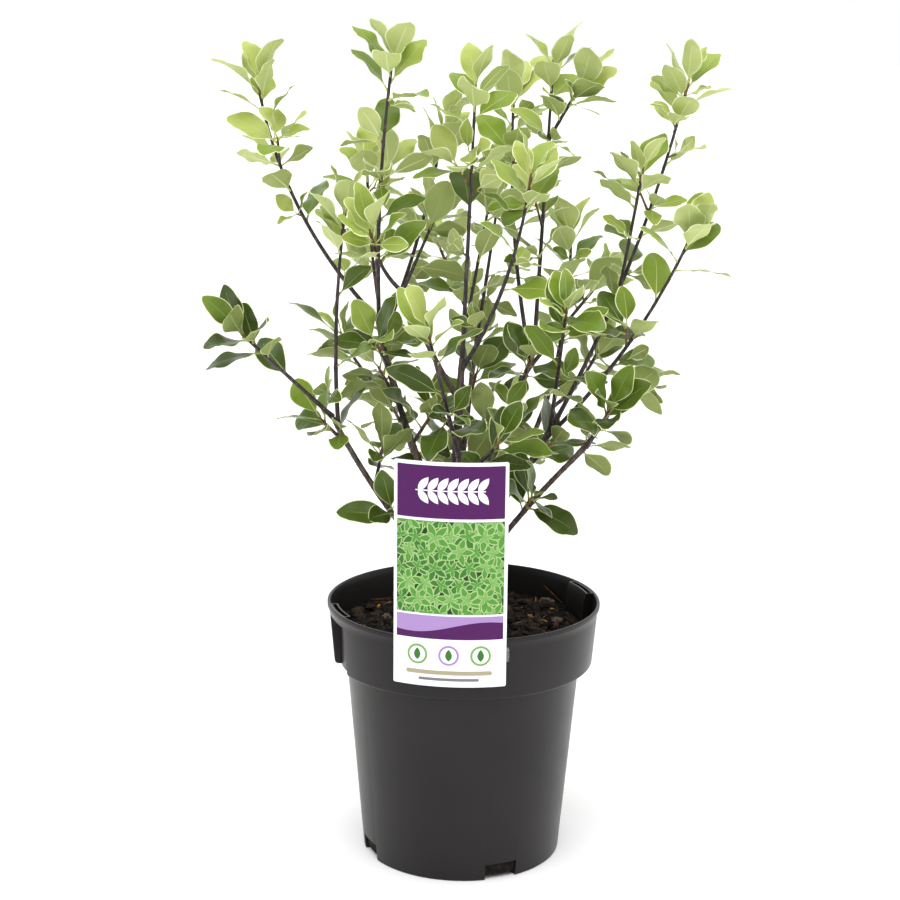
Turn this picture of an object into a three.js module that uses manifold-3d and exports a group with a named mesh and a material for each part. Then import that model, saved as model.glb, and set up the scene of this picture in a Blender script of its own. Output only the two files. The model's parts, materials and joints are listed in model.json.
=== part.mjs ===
// A potted pittosporum: a young many-stemmed shrub, about 0.6 m tall with its pot.
// A short trunk stands in a round nursery pot of potting mix. Low boughs leave it all round, and
// leafy shoots leave the boughs. A printed plant label hangs on the front of the pot's rim in a clip.
// Millimetres, +Z up. The origin is the centre of the pot's flat underside, and -Y is the label's side.
import * as THREE from "three";
import { mergeVertices } from "three/addons/utils/BufferGeometryUtils.js";
import Module from "manifold-3d";

const wasm = await Module();
wasm.setup();

// Driving dimensions
const CLEARANCE = 0.3; // between neighbouring pieces that touch on the real plant
const BEYOND = 2; // how far a cut runs past the surface that it opens
const WELD = 1e-4; // points nearer to each other than this are one
const GOLDEN_ANGLE = Math.PI * (3 - Math.sqrt(5)); // the turn from one leaf to the next round a stem

const POT = {
  height: 190,
  footRadius: 73,
  wallTopRadius: 85.8,
  bandFoot: 144, // height where the wide rim band begins
  bandFootRadius: 95.2,
  bandCorner: [4, 2.5], // width and height of the band's round lower edge
  bandTopRadius: 98.2,
  lipFoot: 184, // height where the band flares out into its lip
  lipEdge: 187, // height where the flare ends
  lipRadius: 100,
  lipFace: 2.2, // width of the lip's flat top
  wall: 1.5,
  corner: 2.5,
  segments: 44,
};
const GRIPS = {
  azimuths: [20, 199.5],
  halfWidth: 9.5, // degrees
  back: [[90.4, 144], [91.6, 182], [94, 190]], // radius of the pocket's back, and height, going up
  wall: 1.2,
  openTop: 182, // height where its opening to the outside ends
  top: 189.6,
};
const DRAINS = { first: 23, count: 4, halfWidth: 9.5, height: 12, innerRadius: 58, outerRadius: 82 };
const SOIL = {
  edgeHeight: 168, shoulderHeight: 169.6, shoulderShare: 0.72, topHeight: 171, flatRadius: 24, segments: 28,
};
const LABEL = { width: 80, low: 157, high: 315, thickness: 0.8, azimuth: 264, steps: 14 };
const CLIP = {
  thickness: 0.8, low: 174, stripHigh: 184, leftShare: 0.8, earWidth: 2.2, hookWidth: 22, hookDrop: 16,
  steps: 10,
};

const LIMB = { sides: 6, steps: 7 };
const SHOOT = { sides: 3, steps: 5, footRadius: 1.7, tipRadius: 0.9 };
const TWIG = {
  every: 170, radius: 0.9, tipRadius: 0.72, reach: [12, 24], pitch: 0.8, lift: 0.15, steps: 2,
  tipLeaves: 3, tuftStep: 2, leafStep: 9, leafyFrom: 0.55,
  aboveBare: 0.06, // share of the shoot between its bare part and its first twig
  highest: 0.8, // share of the shoot that its last twig stays under
  draw: [0.3, 0.7], // where a twig stands in its own stretch of the shoot
};
const LEAF = {
  length: [32, 44], // of a full-grown leaf, with its stalk
  youngest: 0.8, // size of the innermost leaf of a tip, as a share of full size
  fullAge: 0.62, // age from which a leaf has its full size
  width: [0.5, 0.64], // as a share of length
  stalk: 0.14, // as a share of length
  stalkHalfWidth: 0.06, // as a share of half the width
  footShape: 1.1, // over 1 narrows the blade's foot
  roundness: [0.92, 0.62], // of the blade at its foot and at its tip: the smaller, the blunter
  fullness: 1.18, // how much wider the flat-sided solid is than the oval leaf, to cover as much
  thickness: 0.028, // as a share of length
  widest: 0.6, // where along the leaf it is widest
  fold: [0.05, 0.2], // how far the edges stand above the midrib, as a share of width
  foldByAge: [1.3, 0.8], // young leaves are folded more
  curl: [0.06, 0.27], // how far the tip bends back, as a share of length
  curlByAge: [0.65, 1], // and old ones bend back more
  sunk: 0.01, // how far its root lies inside the stem, as a share of length
  aroundMiddle: 0.6, // radius of the round space that holds a leaf, as a share of length
  freeFoot: 0.2, // share of its length where other leaves may touch it
  testRows: [0.3, 0.4, 0.5, 0.6, 0.7, 0.8, 0.9, 1],
  testSides: [-0.95, -0.5, 0, 0.5, 0.95],
};
const SPREAD = {
  shootPitch: [0.22, 0.95], // from the stem, of the youngest and of a full-grown leaf, in radians
  sprayPitch: [0.35, 1.2],
  pitchDraw: 0.35,
  turnDraw: 0.5,
  rollDraw: 0.7,
  rise: 0.12, // how much every leaf reaches up
  facing: [0.15, 0.35], // how much its upper side turns to the stem and to the sky
  tryTurn: 0.7, // further round the stem at each new try
  tryPitch: 0.08,
};
const TIP_LEAVES = 7; // in the close tuft at a shoot's tip
const TUFT_STEP = 2.4; // between the first leaves of a tuft, along the stem
const TUFT_STRETCH = 0.25; // how much the step grows with every leaf
const LEAF_STEP = 27; // between the leaves below a tuft
const LEAF_STEP_DRAW = [0.85, 1.15];
const TIP_GAP = 1.2; // from a shoot's tip to its first leaf
const FIRST_AGE = 0.4; // age of the first leaf, in leaves
const TRIES = 4; // places tried for a leaf before it is left out
const LEAF_GAP = 2.2; // between two leaves
const LIMB_GAP = 1.6; // between a leaf and a limb
const OWN_LIMB_GAP = 0.4;
const SEEDS = {
  shoots: 11, forks: 50, twigs: 100, sprays: 700, spray: 10, twigRun: 977, twigShift: 5, leafRun: 131,
  leaf: 7, leafShift: 3,
};

// The space that the crown keeps to
const CROWN = {
  low: [-181, -158, 196], high: [191, 172, 606], soilGap: 14, potGap: 8, openPotRadius: 84,
  labelSideGap: 6, labelTopGap: 4,
};

const NO_SWAY = [0, 0, 0];
const TRUNK = {
  name: "trunk", foot: [-4, 0, SOIL.topHeight + CLEARANCE], tip: [-3, -12, 372], sway: [-3, 0, 0],
  footRadius: 5.8, tipRadius: 2.2, flare: 4, flareHeight: 6, flareStations: [0.02, 0.05],
};
// The boughs: name, the limb each leaves and at which share of its length, its tip, how far its middle
// stands off a straight line, and its foot radius.
const BOUGHS = [
  ["bough_right_low", "trunk", 0.09, [83, -50, 315], [-3, 0, 3], 2.1],
  ["bough_left_low", "trunk", 0.13, [-94, -30, 331], [-5, 0, -3], 2.5],
  ["bough_back_right", "trunk", 0.17, [62, 82, 322], [4, 5, -4], 2.3],
  ["bough_front", "trunk", 0.2, [-5, -60, 310], [0, -5, -4], 2.1],
  ["bough_right", "trunk", 0.24, [63, -18, 326], [2, 0, -2], 2.6],
  ["bough_back_left", "trunk", 0.27, [-52, 76, 330], [-4, 5, -4], 2.3],
  ["bough_left", "trunk", 0.31, [-64, 8, 395], [-6, 0, -1], 2.9],
  ["bough_centre_right", "trunk", 0.36, [49, 22, 370], [2, 1, -2], 2.7],
  ["bough_back", "trunk", 0.42, [6, 88, 352], [0, 6, -5], 2.3],
  ["bough_centre_left", "trunk", 0.84, [-40, -30, 416], [-3, -3, 0], 2.1],
];
const BOUGH_TIP_RADIUS = 1.8;
const FORK_SHARE = 0.8; // a fork's or spray's foot radius, as a share of a shoot's
const FORK_LEAFY_FROM = 0.25;

// The masses of foliage: name, limb, share of its length, tip, sway, the bare share of the shoot, and for
// a second shoot the share of the first where it forks off and its tip.
const MASSES = [
  ["foliage_left_low", "bough_left_low", 1, [-153, -82, 399], NO_SWAY, 0.42],
  ["foliage_left_upright", "bough_left_low", 0.94, [-85, -25, 478], [-4, 0, -4], 0.2],
  ["foliage_left_high", "bough_left", 1, [-150, 26, 563], [-14, 4, -6], 0.4],
  ["foliage_left_tall", "bough_left", 0.96, [-52, -40, 580], [-4, -4, 0], 0.3],
  ["foliage_left_inner", "bough_left", 0.91, [-18, 50, 528], [3, 2, -5], 0.4],
  ["foliage_front_left", "bough_centre_left", 1, [-66, -74, 468], [-4, -3, -4], 0.3,
    [0.12, [-22, 24, 470]]],
  ["foliage_front", "bough_front", 1, [-27, -108, 406], NO_SWAY, 0.1],
  ["foliage_front_low", "bough_front", 0.9, [23, -92, 330], [2, -3, -3], 0.2],
  ["foliage_centre_tall", "trunk", 1, [4, -23, 562], NO_SWAY, 0.42, [0.06, [17, 53, 482]]],
  ["foliage_centre_front", "trunk", 0.95, [41, -74, 506], [7, -2, -4], 0.3],
  ["foliage_back_centre", "bough_centre_right", 0.95, [34, 98, 551], [-6, 6, 0], 0.45],
  ["foliage_top", "bough_centre_right", 1, [60, 41, 580], NO_SWAY, 0.1, [0.72, [80, 34, 562]]],
  ["foliage_right_inner", "bough_centre_right", 0.9, [100, 62, 418], NO_SWAY, 0.3],
  ["foliage_right_high", "bough_right", 1, [152, 0, 566], [7, -1, -5], 0.2, [0.42, [120, -24, 508]]],
  ["foliage_right_front", "bough_right", 0.95, [65, -98, 420], NO_SWAY, 0.15],
  ["foliage_right_mid", "bough_right", 0.89, [154, -41, 466], [7, 0, -6], 0.25],
  ["foliage_right_low", "bough_right_low", 1, [124, -14, 366], NO_SWAY, 0.1, [0.15, [98, -74, 348]]],
  ["foliage_back_left_high", "bough_back_left", 1, [-76, 106, 500], [-5, 6, -5], 0.15],
  ["foliage_back_left_low", "bough_back_left", 0.93, [-96, 100, 372], [-4, 3, -5], 0.15],
  ["foliage_back_high", "bough_back", 1, [27, 134, 492], [0, 8, -5], 0.25, [0.14, [-24, 138, 440]]],
  ["foliage_back_low", "bough_back", 0.92, [12, 142, 366], [0, 3, -4], 0.2],
  ["foliage_back_right_high", "bough_back_right", 1, [80, 112, 446], [4, 6, -5], 0.15],
  ["foliage_back_right_low", "bough_back_right", 0.93, [104, 98, 366], [5, 3, -5], 0.15],
];
// Short leafy sprays stand straight on the older wood, at these shares of each limb's length.
const SPRAYS = [
  { on: "bough_left_low", at: [0.4, 0.62, 0.84] },
  { on: "bough_left", at: [0.45, 0.63, 0.8] },
  { on: "trunk", at: [0.52, 0.72] },
  { on: "bough_centre_right", at: [0.45, 0.8] },
  { on: "bough_right", at: [0.42, 0.68] },
  { on: "bough_right_low", at: [0.5, 0.84] },
  { on: "bough_back_left", at: [0.45, 0.75] },
  { on: "bough_back_right", at: [0.45, 0.75] },
  { on: "bough_back", at: [0.45, 0.75] },
];
const SPRAY = {
  reach: [26, 38], pitch: 1.0, lift: 0.2, turn: 1.3, steps: 3, tipLeaves: 5, leafStep: 8, leafyFrom: 0.3,
};

// Colours of the parts
const material = (color, roughness) => new THREE.MeshStandardMaterial({ color, roughness, metalness: 0 });
const MATERIALS = {
  pot: material(0x3b3a3a, 0.55),
  soil: material(0x2a1d15, 0.95),
  bark: material(0x4c3a34, 0.8),
  mature: material(0x3f5a22, 0.4),
  young: material(0x9fb562, 0.5),
  label: material(0xeceaee, 0.4),
  clip: material(0xd8dde0, 0.25),
};
const YOUNG_ABOVE = 400; // a mass whose tip is higher than this has young, pale leaves

// Solids

const vec = (a) => new THREE.Vector3(...a);
const radians = THREE.MathUtils.degToRad;
const arcDegrees = (width, radius) => THREE.MathUtils.radToDeg(width / radius);
const mix = (a, b, t) => a + (b - a) * t;

function facets(points, faces) {
  const geometry = new THREE.BufferGeometry();
  geometry.setAttribute("position", new THREE.Float32BufferAttribute(points.flatMap((p) => p.toArray()), 3));
  geometry.setIndex(faces.flat());
  return geometry;
}

// A closed geometry as a manifold solid.
function solid(geometry) {
  const bare = geometry.clone();
  bare.deleteAttribute("normal");
  bare.deleteAttribute("uv");
  const merged = mergeVertices(bare, WELD);
  return new wasm.Manifold(
    new wasm.Mesh({
      numProp: 3,
      vertProperties: new Float32Array(merged.attributes.position.array),
      triVerts: new Uint32Array(merged.index.array),
    }),
  );
}

// A solid of revolution round +Z from points [radius, height], run up the outside and down the inside.
function revolved(profile, segments) {
  const points = profile.map(([r, z]) => new THREE.Vector2(r, z));
  return solid(new THREE.LatheGeometry(points, segments).rotateX(Math.PI / 2));
}

// A piece of a ring round +Z, between two radii, two heights and two azimuths in degrees.
function ringPiece(inner, outer, low, high, from, to, steps = 4) {
  const shape = new THREE.Shape();
  const edge = [];
  for (let i = 0; i <= steps; i++) edge.push([outer, mix(from, to, i / steps)]);
  for (let i = steps; i >= 0; i--) edge.push([inner, mix(from, to, i / steps)]);
  edge.forEach(([r, degrees], i) => {
    const x = r * Math.cos(radians(degrees));
    const y = r * Math.sin(radians(degrees));
    if (i) shape.lineTo(x, y);
    else shape.moveTo(x, y);
  });
  const geometry = new THREE.ExtrudeGeometry(shape, { depth: high - low, bevelEnabled: false });
  return solid(geometry.translate(0, 0, low));
}

// The triangles of the largest closed skin of a solid: loose scraps and the skins of sealed hollows go.
function largestSkin(triangles, vertexCount) {
  const leader = Array.from({ length: vertexCount }, (_, i) => i);
  const find = (i) => {
    while (leader[i] !== i) {
      leader[i] = leader[leader[i]];
      i = leader[i];
    }
    return i;
  };
  for (let i = 0; i < triangles.length; i += 3) {
    leader[find(triangles[i])] = find(triangles[i + 1]);
    leader[find(triangles[i])] = find(triangles[i + 2]);
  }
  const skins = new Map();
  for (let i = 0; i < triangles.length; i += 3) {
    const key = find(triangles[i]);
    if (!skins.has(key)) skins.set(key, []);
    skins.get(key).push(triangles[i], triangles[i + 1], triangles[i + 2]);
  }
  return [...skins.values()].sort((a, b) => b.length - a.length)[0];
}

function meshOf(name, made, look) {
  const { vertProperties, triVerts } = made.getMesh();
  const geometry = new THREE.BufferGeometry();
  geometry.setAttribute("position", new THREE.Float32BufferAttribute(vertProperties, 3));
  geometry.setIndex(largestSkin(triVerts, vertProperties.length / 3));
  geometry.computeVertexNormals();
  const mesh = new THREE.Mesh(geometry, look);
  mesh.name = name;
  return mesh;
}

// The pot

// The rim band's round lower edge, and the same edge further in.
function bandCorner(inset) {
  const [width, height] = POT.bandCorner;
  return [270, 300, 330, 360].map((degrees) => [
    POT.bandFootRadius - width + (width - inset) * Math.cos(radians(degrees)),
    POT.bandFoot + height + (height - inset) * Math.sin(radians(degrees)),
  ]);
}

// The outside of the pot, from its underside to the top of its lip.
function potOutside() {
  const p = POT;
  return [
    [0, 0],
    [p.footRadius - p.corner, 0],
    [p.footRadius, p.corner],
    [p.wallTopRadius, p.bandFoot],
    ...bandCorner(0),
    [p.bandTopRadius, p.lipFoot],
    [p.lipRadius, p.lipEdge],
    [p.lipRadius, p.height],
  ];
}

function potSolid() {
  const p = POT;
  const profile = [
    ...potOutside(),
    [p.lipRadius - p.lipFace, p.height],
    [p.bandTopRadius - p.wall, p.lipFoot],
    ...bandCorner(p.wall).reverse(),
    [p.wallTopRadius - p.wall, p.bandFoot + p.wall],
    [p.footRadius - p.wall, p.corner],
    [p.footRadius - p.corner - p.wall, p.wall],
    [0, p.wall],
  ];
  let made = revolved(profile, p.segments);
  for (const azimuth of GRIPS.azimuths) made = cutGrip(made, azimuth);
  for (let i = 0; i < DRAINS.count; i++) {
    const azimuth = DRAINS.first + (i * 360) / DRAINS.count;
    const [from, to] = [azimuth - DRAINS.halfWidth, azimuth + DRAINS.halfWidth];
    made = made.subtract(ringPiece(DRAINS.innerRadius, DRAINS.outerRadius, -BEYOND, DRAINS.height, from, to));
  }
  return made;
}

// What lies inside a grip's back, or further in by an inset.
function withinGripBack(inset) {
  const back = GRIPS.back.map(([r, z]) => [r - inset, z]);
  const low = back[0][1] - 2 * BEYOND;
  const high = POT.height + 2 * BEYOND;
  const profile = [[0, low], [back[0][0], low], ...back, [back.at(-1)[0], high], [0, high]];
  return revolved(profile, POT.segments);
}

// A grip is a pocket pressed into the rim band: open outside from the band's foot to under the lip, and
// open upwards as a slot.
function cutGrip(made, azimuth) {
  const p = POT;
  const [from, to] = [azimuth - GRIPS.halfWidth, azimuth + GRIPS.halfWidth];
  const side = arcDegrees(GRIPS.wall, p.bandTopRadius);
  const low = p.bandFoot - BEYOND;
  const near = p.wallTopRadius;
  const filled = revolved([...potOutside(), [0, p.height]], p.segments);
  const block = ringPiece(near, p.lipRadius + BEYOND, low, GRIPS.top, from - side, to + side);
  const housing = block.intersect(filled).subtract(withinGripBack(GRIPS.wall));
  const recess = ringPiece(near, p.lipRadius + BEYOND, low, GRIPS.openTop, from, to);
  const slot = ringPiece(near, p.bandTopRadius - p.wall, GRIPS.openTop - BEYOND, p.height + BEYOND, from, to);
  const pocket = recess.add(slot).subtract(withinGripBack(0));
  return made.add(housing).subtract(pocket);
}

// The inside of the rim band at a height.
function bandInnerRadius(z) {
  const foot = POT.bandFoot + POT.bandCorner[1];
  return mix(POT.bandFootRadius, POT.bandTopRadius, (z - foot) / (POT.lipFoot - foot)) - POT.wall;
}

// The potting mix fills the pot to a little under its lip.
function soilSolid() {
  const p = POT;
  const gap = p.wall + CLEARANCE;
  const edgeRadius = bandInnerRadius(SOIL.edgeHeight) - CLEARANCE;
  const profile = [
    [0, gap],
    [p.footRadius - p.corner - gap, gap],
    [p.footRadius - gap, p.corner],
    [p.wallTopRadius - gap, p.bandFoot + gap],
    ...bandCorner(gap),
    [edgeRadius, SOIL.edgeHeight],
    [edgeRadius * SOIL.shoulderShare, SOIL.shoulderHeight],
    [SOIL.flatRadius, SOIL.topHeight],
    [0, SOIL.topHeight],
  ];
  let made = revolved(profile, SOIL.segments);
  const inner = GRIPS.back[0][0] - GRIPS.wall - 2 * CLEARANCE;
  const half = GRIPS.halfWidth + arcDegrees(GRIPS.wall + 2 * CLEARANCE, inner);
  for (const azimuth of GRIPS.azimuths) {
    made = made.subtract(ringPiece(inner, p.lipRadius, p.bandFoot, p.height, azimuth - half, azimuth + half));
  }
  return made;
}

// The label and its clip

const clipInner = () => POT.lipRadius + CLEARANCE;
const labelInner = () => clipInner() + CLIP.thickness + CLEARANCE;

function labelSolid() {
  const half = arcDegrees(LABEL.width, labelInner()) / 2;
  const from = LABEL.azimuth - half;
  const outer = labelInner() + LABEL.thickness;
  return ringPiece(labelInner(), outer, LABEL.low, LABEL.high, from, LABEL.azimuth + half, LABEL.steps);
}

// A strip behind the label, with a hook over the pot's lip and an ear that shows beside the label.
function clipSolid() {
  const inner = clipInner();
  const outer = inner + CLIP.thickness;
  const half = arcDegrees(LABEL.width, labelInner()) / 2;
  const hookHalf = arcDegrees(CLIP.hookWidth, inner) / 2;
  const top = POT.height + CLEARANCE;
  const legOuter = bandInnerRadius(top - CLIP.hookDrop) - CLEARANCE;
  const legInner = legOuter - CLIP.thickness;
  const stripFrom = LABEL.azimuth - half * CLIP.leftShare;
  const stripTo = LABEL.azimuth + half + arcDegrees(CLIP.earWidth, outer);
  const [from, to] = [LABEL.azimuth - hookHalf, LABEL.azimuth + hookHalf];
  const strip = ringPiece(inner, outer, CLIP.low, CLIP.stripHigh, stripFrom, stripTo, CLIP.steps);
  const riser = ringPiece(inner, outer, CLIP.stripHigh - BEYOND, top + CLIP.thickness, from, to);
  const bridge = ringPiece(legInner, outer, top, top + CLIP.thickness, from, to);
  const leg = ringPiece(legInner, legOuter, top - CLIP.hookDrop, top + CLIP.thickness, from, to);
  return strip.add(riser).add(bridge).add(leg);
}

// Limbs: every trunk, bough, shoot and twig is a tapering tube along a smooth curve

class Limb {
  constructor({ start, tip, sway = NO_SWAY, ...sizes }) {
    Object.assign(this, { flare: 0, flareHeight: 1, flareStations: [] }, sizes);
    const control = start.clone().add(tip).multiplyScalar(0.5).addScaledVector(vec(sway), 2);
    this.curve = new THREE.QuadraticBezierCurve3(start, control, tip);
    this.length = this.curve.getLength();
  }
  point(t) {
    return this.curve.getPoint(t);
  }
  direction(t) {
    return this.curve.getTangent(t);
  }
  // A trunk also widens into its root flare over its lowest part.
  radius(t) {
    const rise = (t * this.length) / this.flareHeight;
    return mix(this.footRadius, this.tipRadius, t) + this.flare * Math.exp(-rise);
  }
  // Closed tube, made wider by "grow" for cutting others clear of it, and longer by it at its tip. A trunk
  // starts on a level cut.
  geometry(grow = 0) {
    const stations = Array.from({ length: this.steps + 1 }, (_, i) => i / this.steps);
    stations.splice(1, 0, ...this.flareStations);
    const points = [];
    const faces = [];
    let side = perpendicular(this.direction(0));
    for (const t of stations) {
      const along = this.flare && t === 0 ? new THREE.Vector3(0, 0, 1) : this.direction(t);
      side = side.clone().addScaledVector(along, -side.dot(along)).normalize();
      const across = along.clone().cross(side);
      const centre = this.point(t);
      if (t === 1) centre.addScaledVector(along, grow);
      for (let k = 0; k < this.sides; k++) {
        const angle = (2 * Math.PI * k) / this.sides;
        const r = this.radius(t) + grow;
        const point = centre.clone().addScaledVector(side, r * Math.cos(angle));
        points.push(point.addScaledVector(across, r * Math.sin(angle)));
      }
    }
    const n = this.sides;
    for (let i = 0; i + 1 < stations.length; i++) {
      for (let k = 0; k < n; k++) {
        const [a, b] = [i * n + k, i * n + ((k + 1) % n)];
        faces.push([a, b, b + n], [a, b + n, a + n]);
      }
    }
    const last = (stations.length - 1) * n;
    for (let k = 1; k + 1 < n; k++) faces.push([0, k + 1, k], [last, last + k, last + k + 1]);
    return facets(points, faces);
  }
}

// A direction at right angles to a stem, at an angle round it.
function perpendicular(stem, angle = 0) {
  const aside = Math.abs(stem.x) < Math.SQRT1_2 ? new THREE.Vector3(1, 0, 0) : new THREE.Vector3(0, 1, 0);
  return aside.cross(stem).normalize().applyAxisAngle(stem, angle);
}

// A direction that leans from a stem towards "out" by a pitch.
function leaning(stem, out, pitch) {
  return stem.clone().multiplyScalar(Math.cos(pitch)).addScaledVector(out, Math.sin(pitch));
}

// The growing rule

// A repeatable run of numbers from 0 to 1.
function randomRun(seed) {
  let state = seed >>> 0;
  return () => {
    state = (state + 0x6d2b79f5) >>> 0;
    let t = state;
    t = Math.imul(t ^ (t >>> 15), t | 1);
    t ^= t + Math.imul(t ^ (t >>> 7), t | 61);
    return ((t ^ (t >>> 14)) >>> 0) / 4294967296;
  };
}

// Half the leaf's width at a share s of its length, where the widest is 1: a stalk, then a blade that is
// wedge-shaped at its foot and blunt at its tip.
function leafOutline(s) {
  const u = THREE.MathUtils.clamp((s - LEAF.stalk) / (1 - LEAF.stalk), 0, 1);
  const blade = Math.max(0, Math.sin(Math.PI * u ** LEAF.footShape)) ** mix(...LEAF.roundness, u);
  return Math.max(LEAF.stalkHalfWidth, blade);
}

class Leaf {
  constructor({ root, along, upward, length, width, fold, curl }) {
    Object.assign(this, { root, length, width, fold, curl });
    this.along = along.clone().normalize();
    this.across = this.along.clone().cross(upward).normalize().negate();
    this.upper = this.along.clone().cross(this.across).normalize();
    this.middle = this.place(0.5, 0, 0);
  }
  // Height of the blade's surface over its root plane: folded up at its edges, and bent back at its tip.
  rise(s, w) {
    return this.fold * this.width * w * w * leafOutline(s) - this.curl * this.length * s * s;
  }
  // The point at share s of the length, share w of half the widest width, and h above the surface.
  place(s, w, h) {
    return this.root.clone()
      .addScaledVector(this.along, s * this.length)
      .addScaledVector(this.across, (w * this.width) / 2)
      .addScaledVector(this.upper, this.rise(s, w) + h);
  }
  samples() {
    return LEAF.testRows.flatMap((s) => LEAF.testSides.map((w) => this.place(s, w * leafOutline(s), 0)));
  }
  // Whether a point lies within "gap" of the blade.
  near(point, gap) {
    const from = point.clone().sub(this.root);
    const s = from.dot(this.along) / this.length;
    if (s < LEAF.freeFoot || s > 1 + gap / this.length) return false;
    const w = (2 * from.dot(this.across)) / this.width;
    if (Math.abs(w) > leafOutline(Math.min(s, 1)) + (2 * gap) / this.width) return false;
    return Math.abs(from.dot(this.upper) - this.rise(s, w)) < gap;
  }
  geometry() {
    const half = (LEAF.thickness * this.length) / 2;
    const s = LEAF.widest;
    const points = [
      this.place(-LEAF.sunk, 0, 0),
      this.place(s, -LEAF.fullness, 0),
      this.place(1, 0, 0),
      this.place(s, LEAF.fullness, 0),
      this.place(s, 0, half),
      this.place(s, 0, -half),
    ];
    const faces = [];
    for (let k = 0; k < 4; k++) faces.push([k, (k + 1) % 4, 4], [(k + 1) % 4, k, 5]);
    return facets(points, faces);
  }
}

const placedLeaves = [];
const woodRuns = []; // every limb as short straight runs, for keeping leaves clear of them

function addWood(limb) {
  for (let i = 0; i < limb.steps; i++) {
    const [t0, t1] = [i / limb.steps, (i + 1) / limb.steps];
    woodRuns.push({ limb, line: new THREE.Line3(limb.point(t0), limb.point(t1)), radius: limb.radius(t0) });
  }
}

function insideCrown(point) {
  const { x, y, z } = point;
  const [low, high] = [CROWN.low, CROWN.high];
  if (x < low[0] || y < low[1] || z < low[2] || x > high[0] || y > high[1] || z > high[2]) return false;
  if (z < SOIL.topHeight + CROWN.soilGap) return false;
  const fromAxis = Math.hypot(x, y);
  const overRim = fromAxis > CROWN.openPotRadius && fromAxis < POT.lipRadius + CROWN.potGap;
  if (overRim && z < POT.height + CROWN.potGap) return false;
  const labelX = labelInner() * Math.cos(radians(LABEL.azimuth));
  const inLabelWidth = y < 0 && Math.abs(x - labelX) < LABEL.width / 2 + CROWN.labelSideGap;
  const nearLabel = inLabelWidth && fromAxis > labelInner() - CROWN.labelSideGap;
  return !(nearLabel && z < LABEL.high + CROWN.labelTopGap);
}

const nearest = new THREE.Vector3();

function leafFits(leaf, ownLimb) {
  const samples = leaf.samples();
  if (!samples.every(insideCrown)) return false;
  const reach = leaf.length * LEAF.aroundMiddle;
  for (const { limb, line, radius } of woodRuns) {
    line.closestPointToPoint(leaf.middle, true, nearest);
    if (nearest.distanceTo(leaf.middle) > reach + radius + LIMB_GAP) continue;
    const gap = radius + (limb === ownLimb ? OWN_LIMB_GAP : LIMB_GAP);
    for (const p of samples) {
      line.closestPointToPoint(p, true, nearest);
      if (nearest.distanceTo(p) < gap) return false;
    }
  }
  for (const other of placedLeaves) {
    if (other.middle.distanceTo(leaf.middle) > reach + other.length * LEAF.aroundMiddle) continue;
    if (samples.some((p) => other.near(p, LEAF_GAP))) return false;
    if (other.samples().some((p) => leaf.near(p, LEAF_GAP))) return false;
  }
  return true;
}

// One leaf on a limb. "age" runs from 0 at the tip's youngest leaf to 1 at a full-grown one: young leaves
// are small and stand up round the tip, and old ones are large and spread.
function growLeaf(limb, t, turn, age, pitch, random) {
  const draws = Array.from({ length: 7 }, random);
  const full = mix(...LEAF.length, draws[0]);
  const length = full * mix(LEAF.youngest, 1, Math.min(1, age / LEAF.fullAge));
  const width = length * mix(...LEAF.width, draws[1]);
  const fold = mix(...LEAF.fold, draws[5]) * mix(...LEAF.foldByAge, age);
  const curl = mix(...LEAF.curl, draws[6]) * mix(...LEAF.curlByAge, age);
  const stem = limb.direction(t);
  for (let attempt = 0; attempt < TRIES; attempt++) {
    const out = perpendicular(stem, turn + (draws[2] - 0.5) * SPREAD.turnDraw + attempt * SPREAD.tryTurn);
    const draw = (draws[3] - 0.5) * SPREAD.pitchDraw;
    const along = leaning(stem, out, mix(...pitch, age) + draw + attempt * SPREAD.tryPitch);
    along.z += SPREAD.rise;
    along.normalize();
    const upward = stem.clone().addScaledVector(out, -SPREAD.facing[0]);
    upward.z += SPREAD.facing[1];
    upward.applyAxisAngle(along, (draws[4] - 0.5) * SPREAD.rollDraw);
    const leaf = new Leaf({ root: limb.point(t), along, upward, length, width, fold, curl });
    if (leafFits(leaf, limb)) {
      placedLeaves.push(leaf);
      return leaf;
    }
  }
  return null;
}

// The leaves of one shoot: a close tuft at its tip, and single leaves below it.
function growLeaves({ limb, seed, tipLeaves, tuftStep, leafStep, leafyFrom, pitch }) {
  const grown = [];
  const start = randomRun(seed)() * 2 * Math.PI;
  let down = TIP_GAP;
  for (let i = 0; 1 - down / limb.length > leafyFrom; i++) {
    const age = Math.min(1, (i + FIRST_AGE) / tipLeaves);
    const random = randomRun(seed * SEEDS.leafRun + i * SEEDS.leaf + SEEDS.leafShift);
    const leaf = growLeaf(limb, 1 - down / limb.length, start + i * GOLDEN_ANGLE, age, pitch, random);
    if (leaf) grown.push(leaf);
    down += i < tipLeaves ? tuftStep * (1 + TUFT_STRETCH * i) : leafStep * mix(...LEAF_STEP_DRAW, random());
  }
  return grown;
}

// The steps of growth down a shoot, a side twig or a spray.
const SHOOT_GROWTH = {
  tipLeaves: TIP_LEAVES, tuftStep: TUFT_STEP, leafStep: LEAF_STEP, pitch: SPREAD.shootPitch,
};
const TWIG_GROWTH = {
  tipLeaves: TWIG.tipLeaves, tuftStep: TWIG.tuftStep, leafStep: TWIG.leafStep, pitch: SPREAD.shootPitch,
};
const SPRAY_GROWTH = {
  tipLeaves: SPRAY.tipLeaves, tuftStep: TUFT_STEP, leafStep: SPRAY.leafStep, pitch: SPREAD.sprayPitch,
};

function shootLimb(name, start, tip, sway, share = 1, steps = SHOOT.steps) {
  return new Limb({ ...SHOOT, name, start, tip, sway, steps, footRadius: SHOOT.footRadius * share });
}

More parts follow.
